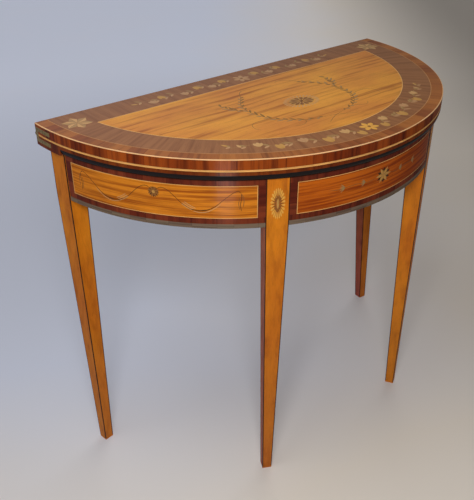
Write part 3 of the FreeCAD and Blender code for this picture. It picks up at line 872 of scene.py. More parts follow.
def make_finish(name):
    """Makes one of the table's finishes from the scene's colours. A wood's row gives its light and dark
    colour and its figure, in metres; an inlay's row its colour, and how far and how dark it is scorched."""
    c = bpy.context.scene.demilune_colours
    mahogany = (c.inside_light, c.inside_dark)
    carcase = (c.carcase_light, c.carcase_dark)
    panel = dict(source="UV", width=0.006, reach=0.2, waviness=0.005, streak=(0.38, 0.66))
    banding = dict(source="UV", order=ACROSS_STRIP, width=0.012, reach=0.2, waviness=0.003,
                   streak=(0.38, 0.85))
    pieces = dict(banding, piece=sizes().edge_segment, tone=0.3)
    line = dict(source="UV", width=0.002, reach=0.05, waviness=0.0005)
    black = dict(width=0.004, reach=0.2)
    plain = dict(width=0.012, reach=0.4, roughness=0.6, coat=0.0)
    woods = {
        "field_satinwood": (c.field_light, c.field_dark, dict(
            width=0.012, reach=0.28, waviness=0.014, streak=(0.44, 0.8), cloud=0.19, coat=TOP_COAT)),
        "frieze_satinwood": (c.panel_light, c.panel_dark, panel),
        # The centre panel gets painted shade, darker and redder towards its right end
        "centre_satinwood": (c.centre_panel_light, c.centre_panel_dark, dict(panel, redder=(-0.1, 0.2))),
        "flower_band_wood": (c.band_light, c.band_dark, dict(
            banding, waviness=0.004, streak=(0.34, 0.78), coat=TOP_COAT)),
        "rim_crossbanding": (c.rim_light, c.rim_dark, dict(
            pieces, streak=(0.4, 0.9), tone=0.22, coat=TOP_COAT)),
        "crossbanding": (c.cross_light, c.cross_dark, dict(pieces, width=0.010, streak=(0.36, 0.74))),
        "frieze_crossbanding": (c.frieze_cross_light, c.frieze_cross_dark, pieces),
        "lower_crossbanding": (tinted(c.cross_light, 0.6), tinted(c.cross_dark, 0.6), dict(
            pieces, tone=0.22)),
        "boxwood_line": (c.line, tinted(c.line, 0.7), line),
        # Paler upper arris line: its own boxwood with a painted highlight
        "edge_boxwood_line": (c.edge_line, tinted(c.edge_line, 0.75), line),
        "dim_boxwood_line": (c.dim_line, tinted(c.dim_line, 0.7), line),
        "ebonised_moulding": (c.ebony, tinted(c.ebony, 0.5), dict(
            black, source="UV", roughness=0.3, coat=0.3)),
        "ebonised_leg_line": (c.leg_line, tinted(c.leg_line, 0.5), dict(black, order=UPRIGHT)),
        # Band under the frieze: its wood with painted shade and painted reflection in its grey
        "lower_band_wood": (c.lower_band, tinted(c.lower_band, 0.6), dict(
            black, source="UV", piece=sizes().edge_segment, tone=0.1)),
        "inside_mahogany": (*mahogany, dict(width=0.018, reach=0.35, waviness=0.02)),
        "leaf_mahogany": (tinted(c.inside_light, 0.9), c.inside_dark, dict(plain, roughness=0.5)),
        "carcase_wood": (*carcase, plain),
        "carcase_medial": (*carcase, dict(plain, order=ACROSS_STRIP)),
        "carcase_bent": (*carcase, dict(plain, source="UV")),
    }
    inlays = {
        "inlay_pale": (c.inlay_pale,),
        "inlay_pale_shaded": (tinted(c.inlay_pale, 0.72), 0.2),
        "inlay_gold": (c.inlay_gold,),
        "inlay_bright": (c.inlay_bright, 0.2),
        "inlay_rose": (c.inlay_rose,),
        "inlay_brown": (c.inlay_brown, 0.7, 0.3),
        "inlay_leaf": (c.inlay_leaf, 0.5),
        "inlay_olive": (c.inlay_olive, 0.4),
        "inlay_dark": (c.inlay_dark,),
        "fan_ground": (c.satin_dark, 0.2, 0.7),
    }
    metals = {
        "hinge_brass": (c.brass, tinted(c.brass, 0.35), 0.3),
        "plain_steel": (c.steel, tinted(c.steel, 0.4), 0.35),
    }
    if name in woods:
        light, dark, figure = woods[name]
        return wood(name, light, dark, **figure)
    if name in inlays:
        return inlay_wood(name, *inlays[name])
    if name in metals:
        return metal(name, *metals[name])
    if name == "leg_satinwood":
        return leg_wood(name, (c.satin_light, c.satin_dark), [tinted(shade, 1.4) for shade in mahogany],
                        order=UPRIGHT, width=0.014, reach=0.05, streak=(0.36, 0.95), cloud=0.15)
    raise KeyError(name)


MATERIALS = {}


def material(name):
    """A finish of this table by name, made the first time it is asked for."""
    if name not in MATERIALS:
        MATERIALS[name] = make_finish(name)
    return MATERIALS[name]


# Pieces of the table

def back_angle(node, radius):
    """Angle from the front at which a node on a curve of that radius ends towards the back."""
    return math.acos((CENTRE_Y - high(node)[1]) / radius)


def bay_span(kind, bay):
    """Angles between which a veneer of a frieze bay runs."""
    if bay == "centre":
        half = math.asin(high(kind + "_centre")[0] / FRIEZE_RADIUS)
        return -half, half
    start = math.asin(low(kind + "_right")[0] / FRIEZE_INNER)
    stop = back_angle(kind + "_right", FRIEZE_INNER)
    return (start, stop) if bay == "right" else (-stop, -start)


class OBJECT_OT_demilune_top(bpy.types.Operator):
    """Veneers the top: the field, its line, the flower band, its line and the crossbanding"""
    bl_idname = "object.demilune_top"
    bl_label = "Top veneers"

    # Steps along and across a back corner of the band
    CORNER_STEPS = (13, 9)

    def execute(self, context):
        over = TOP - sizes().veneer_drop
        field = slab(moon_plan(FIELD_RADIUS, FIELD_BACK), over)
        straight = math.sqrt(FIELD_LINE_OUTER ** 2 - FIELD_LINE_BACK ** 2)
        line = ring_slab(FIELD_RADIUS, FIELD_LINE_OUTER, over, math.acos(-FIELD_BACK / FIELD_RADIUS))
        line += slab(rectangle_plan(straight, FIELD_BACK, FIELD_LINE_BACK), over)
        tip = math.acos(-FIELD_LINE_BACK / FIELD_LINE_OUTER)
        band = ring_slab(FIELD_LINE_OUTER, BAND_OUTER, over, tip)
        band += slab(rectangle_plan(straight, FIELD_LINE_BACK, 0.0), over)
        for side in (-1, 1):
            band += slab(self.corner_plan(side, straight, tip), over)
        for name, sheets, slot, finish, node in (
                ("field_veneer", field, "satinwood", "field_satinwood", "top_field"),
                ("field_string", line, "pale_line", "boxwood_line", "top_field_line"),
                ("flower_band_veneer", band, "flower_band", "flower_band_wood", "top_flower_band"),
                ("band_string", ring_slab(BAND_OUTER, BAND_LINE_OUTER, over), "pale_line", "dim_boxwood_line",
                 "top_band_line"),
                ("crossband_veneer", ring_slab(BAND_LINE_OUTER, EDGE_RADIUS, over), "crossband",
                 "rim_crossbanding", "top_crossband")):
            add_piece(name, sheets, "flap", slot, finish, [node])
        return {"FINISHED"}

    def corner_plan(self, side, straight, tip):
        """Back corner of the band: each row runs from the straight band's end and the curved band's end out
        to the band's rim."""
        share = np.linspace(0.0, 1.0, self.CORNER_STEPS[0])
        inner = stacked(np.full(share.shape, straight), FIELD_LINE_BACK * (1.0 - share))
        angle = tip + (QUARTER - tip) * share
        outer = stacked(BAND_OUTER * np.sin(angle), -BAND_OUTER * np.cos(angle))
        across = np.linspace(0.0, 1.0, self.CORNER_STEPS[1])[None, :, None]
        plan = inner[:, None, :] * (1.0 - across) + outer[:, None, :] * across
        return plan * np.array([side, 1.0]) + np.array([0.0, CENTRE_Y])


class OBJECT_OT_demilune_edges(bpy.types.Operator):
    """Bands the edges of both leaves, with their pale lines and the black moulding"""
    bl_idname = "object.demilune_edges"
    bl_label = "Leaf edges"

    # Share of the upper arris's wear on the others, and steps round the moulding
    LESS_WORN = 0.6
    MOULDING_STEPS = 16

    def execute(self, context):
        worn = sizes().arris_round
        less = worn * self.LESS_WORN
        for name, node, body, finish, low_round, high_round in (
                ("top_edge_string", "top_edge_line", "flap", "edge_boxwood_line", 0.0, worn),
                ("upper_edge_string", "upper_lower_edge_line", "flap", "boxwood_line", less, 0.0),
                ("lower_edge_string", "lower_edge_line", "frame", "boxwood_line", 0.0, less)):
            section = rounded_section(EDGE_RADIUS, LEAF_RADIUS, low(node)[2], high(node)[2],
                                      low_round, high_round)
            add_piece(name, swept(section, back_angle(node, EDGE_RADIUS)), body, "pale_line", finish, [node])
        self.upper_band()
        self.lower_band()
        self.moulding()
        return {"FINISHED"}

    @staticmethod
    def strip(bottom, top, start, stop):
        """Piece of an edge band."""
        return curved_strip(EDGE_RADIUS, LEAF_RADIUS, bottom, top, start, stop)

    @staticmethod
    def hinge_places(node):
        """Angles of the hinge plate's front end and of its arm, from their distances to the back edge."""
        front = math.acos((CENTRE_Y - low(node)[1]) / LEAF_RADIUS)
        return front, back_angle("lower_edge_line", EDGE_RADIUS)

    def upper_band(self):
        """Edge of the upper leaf: one strip as far as the hinges, then strips over and under each plate."""
        bottom, top = low("upper_edge_band")[2], high("upper_edge_band")[2]
        plate_top = high("hinge_upper_plate_right")[2]
        plate_bottom = plate_top - sizes().hinge_height
        front, arm = self.hinge_places("hinge_upper_plate_right")
        strips = self.strip(bottom, top, -front, front)
        for side in (-1, 1):
            strips += self.strip(plate_top, top, side * front, side * QUARTER)
            strips += self.strip(bottom, plate_bottom, side * front, side * arm)
        add_piece("upper_edge_veneer", strips, "flap", "crossband", "crossbanding", ["upper_edge_band"])

    def lower_band(self):
        """Edge of the lower leaf: narrow over the moulding, full height behind it, split round the hinges."""
        bottom, top = low("lower_edge_band")[2], high("lower_edge_band")[2]
        end = back_angle("frieze_lower_band_right", FRIEZE_INNER)
        plate_bottom = low("hinge_lower_plate_right")[2]
        plate_top = plate_bottom + sizes().hinge_height
        front, arm = self.hinge_places("hinge_lower_plate_right")
        strips = self.strip(high("edge_moulding")[2], top, -end, end)
        for side in (-1, 1):
            strips += self.strip(bottom, top, side * end, side * front)
            strips += self.strip(bottom, plate_bottom, side * front, side * QUARTER)
            strips += self.strip(plate_top, top, side * front, side * arm)
        add_piece("lower_edge_veneer", strips, "frame", "crossband", "lower_crossbanding",
                  ["lower_edge_band"])

    def moulding(self):
        """Black moulding: a quarter oval from its brow at the leaf's edge in to its foot at the frieze."""
        bottom, top = low("edge_moulding")[2], high("edge_moulding")[2]
        brow, foot = LEAF_RADIUS - sizes().moulding_shadow, LEAF_RADIUS - sizes().moulding_inset
        seat = foot - sizes().moulding_seat
        turn = np.linspace(QUARTER, 0.0, self.MOULDING_STEPS)
        curve = stacked(foot + (brow - foot) * np.cos(turn), top - (top - bottom) * np.sin(turn))
        section = np.concatenate([curve, [[seat, top], [seat, bottom]]])
        end = back_angle("frieze_lower_band_right", FRIEZE_INNER)
        add_piece("black_moulding", swept(section, end), "frame", "ebonised", "ebonised_moulding",
                  ["edge_moulding"])


class OBJECT_OT_demilune_frieze(bpy.types.Operator):
    """Veneers the three bays of the frieze: panel, line frame, crossbanding, lower band and core"""
    bl_idname = "object.demilune_frieze"
    bl_label = "Frieze"

    def execute(self, context):
        for bay, panel_wood in (("left", "frieze_satinwood"), ("centre", "centre_satinwood"),
                                ("right", "frieze_satinwood")):
            self.bay(bay, panel_wood)
        return {"FINISHED"}

    @staticmethod
    def strip(*frame_sides, **form):
        """Piece of veneer on the frieze."""
        return curved_strip(FRIEZE_INNER, FRIEZE_RADIUS, *frame_sides, **form)

    def bordered(self, outer, inner):
        """Four strips between two frames, each frame given as bottom, top, start and stop: two along the
        curve, and two upright ones between them."""
        strips = []
        for bottom, top in ((outer[0], inner[0]), (inner[1], outer[1])):
            strips += self.strip(bottom, top, outer[2], outer[3])
        for start, stop in ((outer[2], inner[2]), (inner[3], outer[3])):
            strips += self.strip(inner[0], inner[1], start, stop, upright=True)
        return strips

    def bay(self, bay, panel_wood):
        """One bay: its veneers from the places of their solids, and its core."""
        frames = {}
        for kind in ("panel", "line", "crossband", "lower_band", "core"):
            node = "frieze_%s_%s" % (kind, bay)
            source = "lower_band" if kind in ("crossband", "core") else kind
            frames[kind] = (low(node)[2], high(node)[2], *bay_span("frieze_" + source, bay))
        core_inner = CORE_RADIUS - sizes().core_thickness
        for kind, sheets, slot, finish in (
                ("panel", self.strip(*frames["panel"]), "satinwood", panel_wood),
                ("line", self.bordered(frames["line"], frames["panel"]), "pale_line", "boxwood_line"),
                ("crossband", self.bordered(frames["crossband"], frames["line"]), "crossband",
                 "frieze_crossbanding"),
                ("lower_band", self.strip(*frames["lower_band"]), "lower_band", "lower_band_wood"),
                ("core", curved_strip(core_inner, CORE_RADIUS, *frames["core"]), "carcase", "carcase_bent")):
            add_piece("frieze_%s_veneer_%s" % (kind, bay), sheets, "frame", slot, finish,
                      ["frieze_%s_%s" % (kind, bay)])


class OBJECT_OT_demilune_legs(bpy.types.Operator):
    """Finishes the four legs and the dark lines on their arrises"""
    bl_idname = "object.demilune_legs"
    bl_label = "Legs"

    def execute(self, context):
        for place in ("front", "back"):
            for side, _ in SIDES:
                dress("leg_satinwood", place + "_leg_" + side)
                dress("ebonised_leg_line", place + "_leg_lines_" + side)
        return {"FINISHED"}


class OBJECT_OT_demilune_carcase(bpy.types.Operator):
    """Finishes the wood behind the veneers: leaf cores, inner faces, rails, gates and blocks"""
    bl_idname = "object.demilune_carcase"
    bl_label = "Carcase"

    def execute(self, context):
        dress("leaf_mahogany", "upper_leaf_core", "lower_leaf_core")
        dress("inside_mahogany", "upper_inside_veneer", "lower_inside_veneer")
        dress("carcase_wood", "back_rail", "knuckle_block", "fly_rail_left", "fly_rail_right", "glue_blocks")
        dress("carcase_medial", "medial_rail")
        return {"FINISHED"}


class OBJECT_OT_demilune_hardware(bpy.types.Operator):
    """Finishes the hinges, pins and screws"""
    bl_idname = "object.demilune_hardware"
    bl_label = "Hardware"

    def execute(self, context):
        for side, _ in SIDES:
            for part in ("hinge_upper_plate_", "hinge_lower_plate_", "hinge_pin_"):
                dress("hinge_brass", part + side)
            dress("plain_steel", "gate_pin_" + side)
        dress("hinge_brass", "hinge_upper_screws", "hinge_lower_screws")
        dress("plain_steel", "leaf_screws")
        return {"FINISHED"}


class OBJECT_OT_demilune_field_inlay(bpy.types.Operator):
    """Lays the oval and the wreath of the field"""
    bl_idname = "object.demilune_field_inlay"
    bl_label = "Field inlay"

    # Middle of the oval; right half of the wreath, from its foot at the front to its tip; its sprig and curls
    CENTRE = (0.0, -228.0)
    WREATH = ((16, -319), (40, -313), (65, -305), (83, -292), (98, -277), (110, -260), (117, -240),
              (120, -215), (116, -190), (106, -168), (92, -150), (80, -136), (70, -121), (60, -111),
              (46, -107), (32, -112))
    SPRIG = ((119, -204), (129, -194), (136, -181), (141, -164), (145, -143))
    FLOURISHES = (
        ((110, -262), (130, -258), (148, -258), (160, -264), (166, -278), (163, -292)),
        ((18, -319), (4, -322), (-12, -328), (-39, -343)),
        ((64, -304), (74, -316), (90, -320), (100, -312)),
    )
    # Leaves: how many of the wreath's points bear them, how many points apart they are, and their width; for
    # each side the first one's point, its turn from the line and its length; and how they swell and ripple
    LEAFY, LEAF_STEP, LEAF_WIDTH = 78, 5, 4.6
    LEAF_SIDES = ((4, 0.55, 17.0), (6, -0.6, 15.0))
    SWELL, RIPPLE, RIPPLES = (0.55, 0.45), 0.3, 25.0

    def execute(self, context):
        path, sprig = smooth_path(self.WREATH, 105), smooth_path(self.SPRIG, 28)
        stems = [ribbon(path, 1.3), ribbon(sprig, 1.2)]
        stems += [ribbon(smooth_path(points, 40), 1.2) for points in self.FLOURISHES]
        outer, inner = zip(self.leaves(path[:self.LEAFY]), self.leaves(sprig))
        lay_inlay(on_top, "flap", (
            ("patera_fringe", self.rays(1.0, 1.0, 30, 0.62, 0.5), "inlay_pale", 0.5),
            ("patera_pale_rays", self.rays(0.70, 0.68, 12, 0.12, 0.9, math.pi / 12), "inlay_gold", 0.5),
            ("patera_dark_rays", self.rays(0.68, 0.66, 12, 0.12, 0.62), "inlay_brown", 0.8),
            ("patera_eye", [button(self.CENTRE, *self.oval(0.1, 0.11))], "inlay_dark", 1.0),
            ("wreath_stems", both(stems), "inlay_olive", 0.25),
            ("wreath_outer_leaves", both(list(outer)), "inlay_olive", 0.5),
            ("wreath_inner_leaves", both(list(inner)), "inlay_leaf", 0.75)))
        return {"FINISHED"}

    @staticmethod
    def oval(wide, deep):
        """Shares of the oval's width and depth, in millimetres."""
        return sizes().patera_width / MM * wide, sizes().patera_depth / MM * deep

    def rays(self, wide, deep, *shape):
        """Ring of rays in the oval."""
        return [fan(self.CENTRE, *self.oval(wide, deep), *shape)]

    def leaves(self, path):
        """Pairs of leaves along the wreath, turned out from its line to both sides. They swell to its
        middle, with a ripple."""
        heading = np.gradient(path, axis=0)
        turn = np.arctan2(heading[:, 1], heading[:, 0])
        place = np.linspace(0.0, math.pi, len(path))
        swell = self.SWELL[0] + self.SWELL[1] * np.sin(place)
        swell *= 1.0 + self.RIPPLE * np.sin(place * self.RIPPLES)
        for first, lean, reach in self.LEAF_SIDES:
            at = np.arange(first, len(path) - 2, self.LEAF_STEP)
            yield petals(path[at], turn[at] + lean, reach * swell[at], self.LEAF_WIDTH)


class OBJECT_OT_demilune_band_inlay(bpy.types.Operator):
    """Lays the flower trails and the corner stars of the dark band"""
    bl_idname = "object.demilune_band_inlay"
    bl_label = "Band inlay"

    # Middles of a corner star and of the star flowers, and widths of a flower's eye, a stem and a leaf
    CORNER = (397.5, -51.0)
    FRONT_STAR, BACK_STAR = (0.0, -403.0), (0.0, -44.0)
    EYE, STEM, LEAF_WIDTH = 7.0, 1.2, 6.0
    # Leaves: their angles from the front in degrees and lengths, and their places along the straight band
    FRONT_LEAVES = np.array([5.4, 10.6, 11.8, 17.0, 23.4, 24.6, 29.3, 35.0, 38.8])
    FRONT_REACH = np.array([15.0, 14.0, 16.0, 17.0, 16.0, 13.0, 15.0, 13.0, 11.0])
    BACK_LEAVES = np.array([30.0, 60.0, 95.0, 131.0, 172.0, 190.0, 214.0, 248.0])
    # Flowers of the curved band: shape, angle in degrees, radius, lean in degrees, and sizes
    FRONT_PALE = ((tulip, 7.6, 406.0, 95.0, 22.0), (tulip, 31.8, 408.0, 85.0, 20.0),
                  (petals, 36.2, 408.0, 60.0, 15.0, 6.5))
    FRONT_YELLOW = ((heart, 4.0, 426.0, 75.0, 20.0), (heart, 13.8, 423.0, 80.0, 24.0),
                    (heart, 26.6, 421.0, 80.0, 21.0), (petals, 39.4, 402.0, 30.0, 14.0, 6.0))
    FRONT_ROSE = ((tulip, 20.0, 408.0, 85.0, 22.0),)
    # Flowers of the straight band: shape, root, turn in radians, and sizes
    BACK_PALE = ((tulip, (78.0, -56.0), 1.4, 21.0), (tulip, (152.0, -56.0), 1.7, 20.0),
                 (tulip, (228.0, -57.0), 1.5, 20.0))
    BACK_YELLOW = ((heart, (44.0, -22.0), -1.4, 21.0), (heart, (112.0, -22.0), -1.7, 21.0),
                   (heart, (200.0, -24.0), -1.5, 20.0), (petals, (258.0, -38.0), 0.3, 15.0, 6.0))

    def execute(self, context):
        star = sizes().star_width / MM / 2
        kite = {"belly": 0.58, "kite": True}
        light, shaded = (flower(self.CORNER, star, star * 0.67, 6, QUARTER, half_of=side, **kite)
                         for side in (1, -1))
        lay_inlay(on_top, "flap", (("corner_stars_pale", both([light]), "inlay_pale", 0.5),
                                   ("corner_stars_shaded", both([shaded]), "inlay_pale_shaded", 0.5)))
        self.front_trail()
        self.back_trail()
        return {"FINISHED"}

    def lay_trail(self, place, stem, leaves, flowers, star):
        """Stem, leaves and flowers of a band, the same to both sides, and the eye of its middle star."""
        dark, light = leaves
        lay_inlay(on_top, "flap", (
            (place + "_trail_stem", both([ribbon(stem, self.STEM)]), "inlay_leaf", 0.25),
            (place + "_trail_leaves", both([dark]), "inlay_leaf", 0.5),
            (place + "_trail_light_leaves", both([light]), "inlay_rose", 0.6),
            *flowers,
            (place + "_star_eye", [button(star, self.EYE, self.EYE)], "inlay_brown", 1.0)))

    def front_trail(self):
        """Trail of the curved band. Its stem is a sine about the band's middle line, and each flower turns on
        from its own angle by its lean."""
        angle = np.linspace(1.5, 41.0, 120)
        stem = polar(angle, 403.0 + 6.0 * np.sin(np.radians(angle) * 30.0))
        out = np.radians(self.FRONT_LEAVES - 90.0)
        roots = polar(self.FRONT_LEAVES, 404.0)
        leaves = (petals(roots, out + turn, self.FRONT_REACH, self.LEAF_WIDTH) for turn in (2.2, 0.8))
        pale, rose, yellow = ([shape(polar(turn, radius), math.radians(turn + lean), *size)
                               for shape, turn, radius, lean, *size in rows]
                              for rows in (self.FRONT_PALE, self.FRONT_ROSE, self.FRONT_YELLOW))
        star = flower(self.FRONT_STAR, 19.0, 10.5, 6, QUARTER, belly=0.6, point=0.75)
        self.lay_trail("front", stem, leaves, (
            ("front_trail_pale", both(pale), "inlay_pale", 0.7),
            ("front_trail_rose", both(rose), "inlay_rose", 0.8),
            ("front_trail_yellow", both(yellow), "inlay_gold", 0.9),
            ("front_star", [star], "inlay_bright", 0.9)), self.FRONT_STAR)

    @staticmethod
    def back_stem(across):
        """Points on the stem of the straight band: a sine about the band's middle line."""
        return stacked(across, -39.0 + 6.0 * np.sin(across / 12.0))

    def back_trail(self):
        """Trail of the straight band."""
        stem = self.back_stem(np.linspace(14.0, 272.0, 120))
        roots = self.back_stem(self.BACK_LEAVES)
        leaves = (petals(roots, turn, reach, self.LEAF_WIDTH) for turn, reach in ((0.9, 16.0), (-0.8, 15.0)))
        pale, yellow = ([shape(*form) for shape, *form in rows]
                        for rows in (self.BACK_PALE, self.BACK_YELLOW))
        star = flower(self.BACK_STAR, 20.0, 11.0, 6, 0.0, belly=0.6, point=0.75)
        self.lay_trail("back", stem, leaves, (
            ("back_trail_pale", both(pale) + [star], "inlay_rose", 0.7),
            ("back_trail_yellow", both(yellow), "inlay_gold", 0.9)), self.BACK_STAR)


class OBJECT_OT_demilune_frieze_inlay(bpy.types.Operator):
    """Lays the ribbon festoons of the side bays and the star of the centre bay"""
    bl_idname = "object.demilune_frieze_inlay"
    bl_label = "Frieze inlay"

    # Right half of a festoon from its flower, its hanging ends and its pale strokes, along the curve
    # and up from the top; its flower; and how far along the middle of a side bay lies
    FESTOON = ((7, -64), (14, -61), (24, -64), (36, -74), (50, -88), (64, -97), (79, -100), (95, -98),
               (108, -91), (124, -77), (138, -66), (147, -62), (152, -66))
    TAIL = ((152, -66), (153, -76), (151, -88), (153, -101))
    HANGING = (((153, -67), (157, -78), (156, -93)), ((150, -74), (148, -86), (150, -98)))
    STROKES = (((49, -88), (57, -94), (68, -100)), ((51, -86), (60, -92), (71, -98)),
               ((54, -84), (63, -90), (74, -96)),
               ((68, -101), (82, -103.5), (96, -101), (108, -94), (118, -86)))
    FLOWER = (0.0, -71.0)
    SIDE_BAY = 438.0
    # Star of the centre bay, how far it is drawn out, its stem, and its sprigs' places and lengths
    STAR, DRAWN_OUT = (0.0, -80.0), np.array([1.25, 1.0])
    STEM = ((16, -80), (40, -83), (70, -80), (104, -82), (128, -80))
    SPRIGS = (((93.0, -81.0), 13.0), ((47.0, -81.0), 11.0))

    def execute(self, context):
        lines = [ribbon(smooth_path(self.FESTOON, 110), 1.1, 0.03), ribbon(smooth_path(self.TAIL, 30), 1.1)]
        crescent = [ribbon(smooth_path(self.FESTOON[5:9], 30), 2.4, 0.5)]
        strokes = [ribbon(smooth_path(points, 30), 1.3) for points in self.STROKES]
        hanging = [ribbon(smooth_path(points, 24), 1.2) for points in self.HANGING]
        dark = flower(self.FLOWER, 11.0, 2.4, 8, 0.0, belly=0.5)
        brown = flower(self.FLOWER, 10.5, 5.0, 8, math.pi / 8, belly=0.6)
        for bay, side in SIDES:
            lay_inlay(on_frieze, "frame", (
                ("festoon_ribbon_" + bay, both(lines) + both(crescent), "inlay_dark", 0.25),
                ("festoon_leaves_" + bay, both(strokes), "inlay_pale", 0.5),
                ("festoon_hangings_" + bay, both(hanging), "inlay_brown", 0.5),
                ("festoon_flower_dark_" + bay, [dark], "inlay_dark", 0.5),
                ("festoon_flower_" + bay, [brown], "inlay_brown", 0.75),
                ("festoon_eye_" + bay, [button(self.FLOWER, 6.0, 6.0)], "inlay_gold", 1.0),
            ), side * self.SIDE_BAY)
        self.centre_star()
        return {"FINISHED"}

    def drawn_out(self, patch):
        """Pattern stretched along the frieze."""
        plan, lift, grid = patch
        return [(plan * self.DRAWN_OUT, lift, grid)]

    def centre_star(self):
        """Six-pointed star, drawn out along the frieze, dark rays behind it, and sprigs to both sides."""
        behind = flower(self.STAR, 15.5, 9.0, 6, math.pi / 6, belly=0.5, kite=True)
        star = flower(self.STAR, 16.5, 7.6, 6, 0.0, belly=0.4, kite=True)
        spread = np.array([-0.7, -0.35, 0.0, 0.35, 0.7])
        sprigs = [cluster(root, spread, reach, 2.2) for root, reach in self.SPRIGS]
        lay_inlay(on_frieze, "frame", (
            ("centre_star_dark", self.drawn_out(behind), "inlay_dark", 0.5),
            ("centre_star", self.drawn_out(star), "inlay_gold", 1.0),
            ("centre_sprigs", both(sprigs), "inlay_leaf", 0.5),
            ("centre_stem", both([ribbon(smooth_path(self.STEM, 60), 1.2)]), "inlay_brown", 0.25)))


class OBJECT_OT_demilune_leg_fans(bpy.types.Operator):
    """Lays the oval fans at the top of the front legs"""
    bl_idname = "object.demilune_leg_fans"
    bl_label = "Leg fans"

    # Middle of a fan: across the leg, and up from the top
    CENTRE = (0.0, -90.0)

    def execute(self, context):
        width, height = sizes().fan_width / MM, sizes().fan_height / MM
        ground = button(self.CENTRE, width * 0.84, height * 0.88)
        rays = fan(self.CENTRE, width, height, 22, 0.36, 0.62, math.pi / 22)
        inner = fan(self.CENTRE, width * 0.5, height * 0.56, 16, 0.3, 0.6)
        middle = button(self.CENTRE, width * 0.17, height * 0.32)
        for name, side in SIDES:
            lay_inlay(on_front_leg, "frame", (
                ("leg_fan_ground_" + name, [ground], "fan_ground", 0.25),
                ("leg_fan_rays_" + name, [rays], "inlay_bright", 0.6),
                ("leg_fan_inner_" + name, [inner], "inlay_brown", 0.8),
                ("leg_fan_heart_" + name, [middle], "inlay_gold", 1.0)), side)
        return {"FINISHED"}


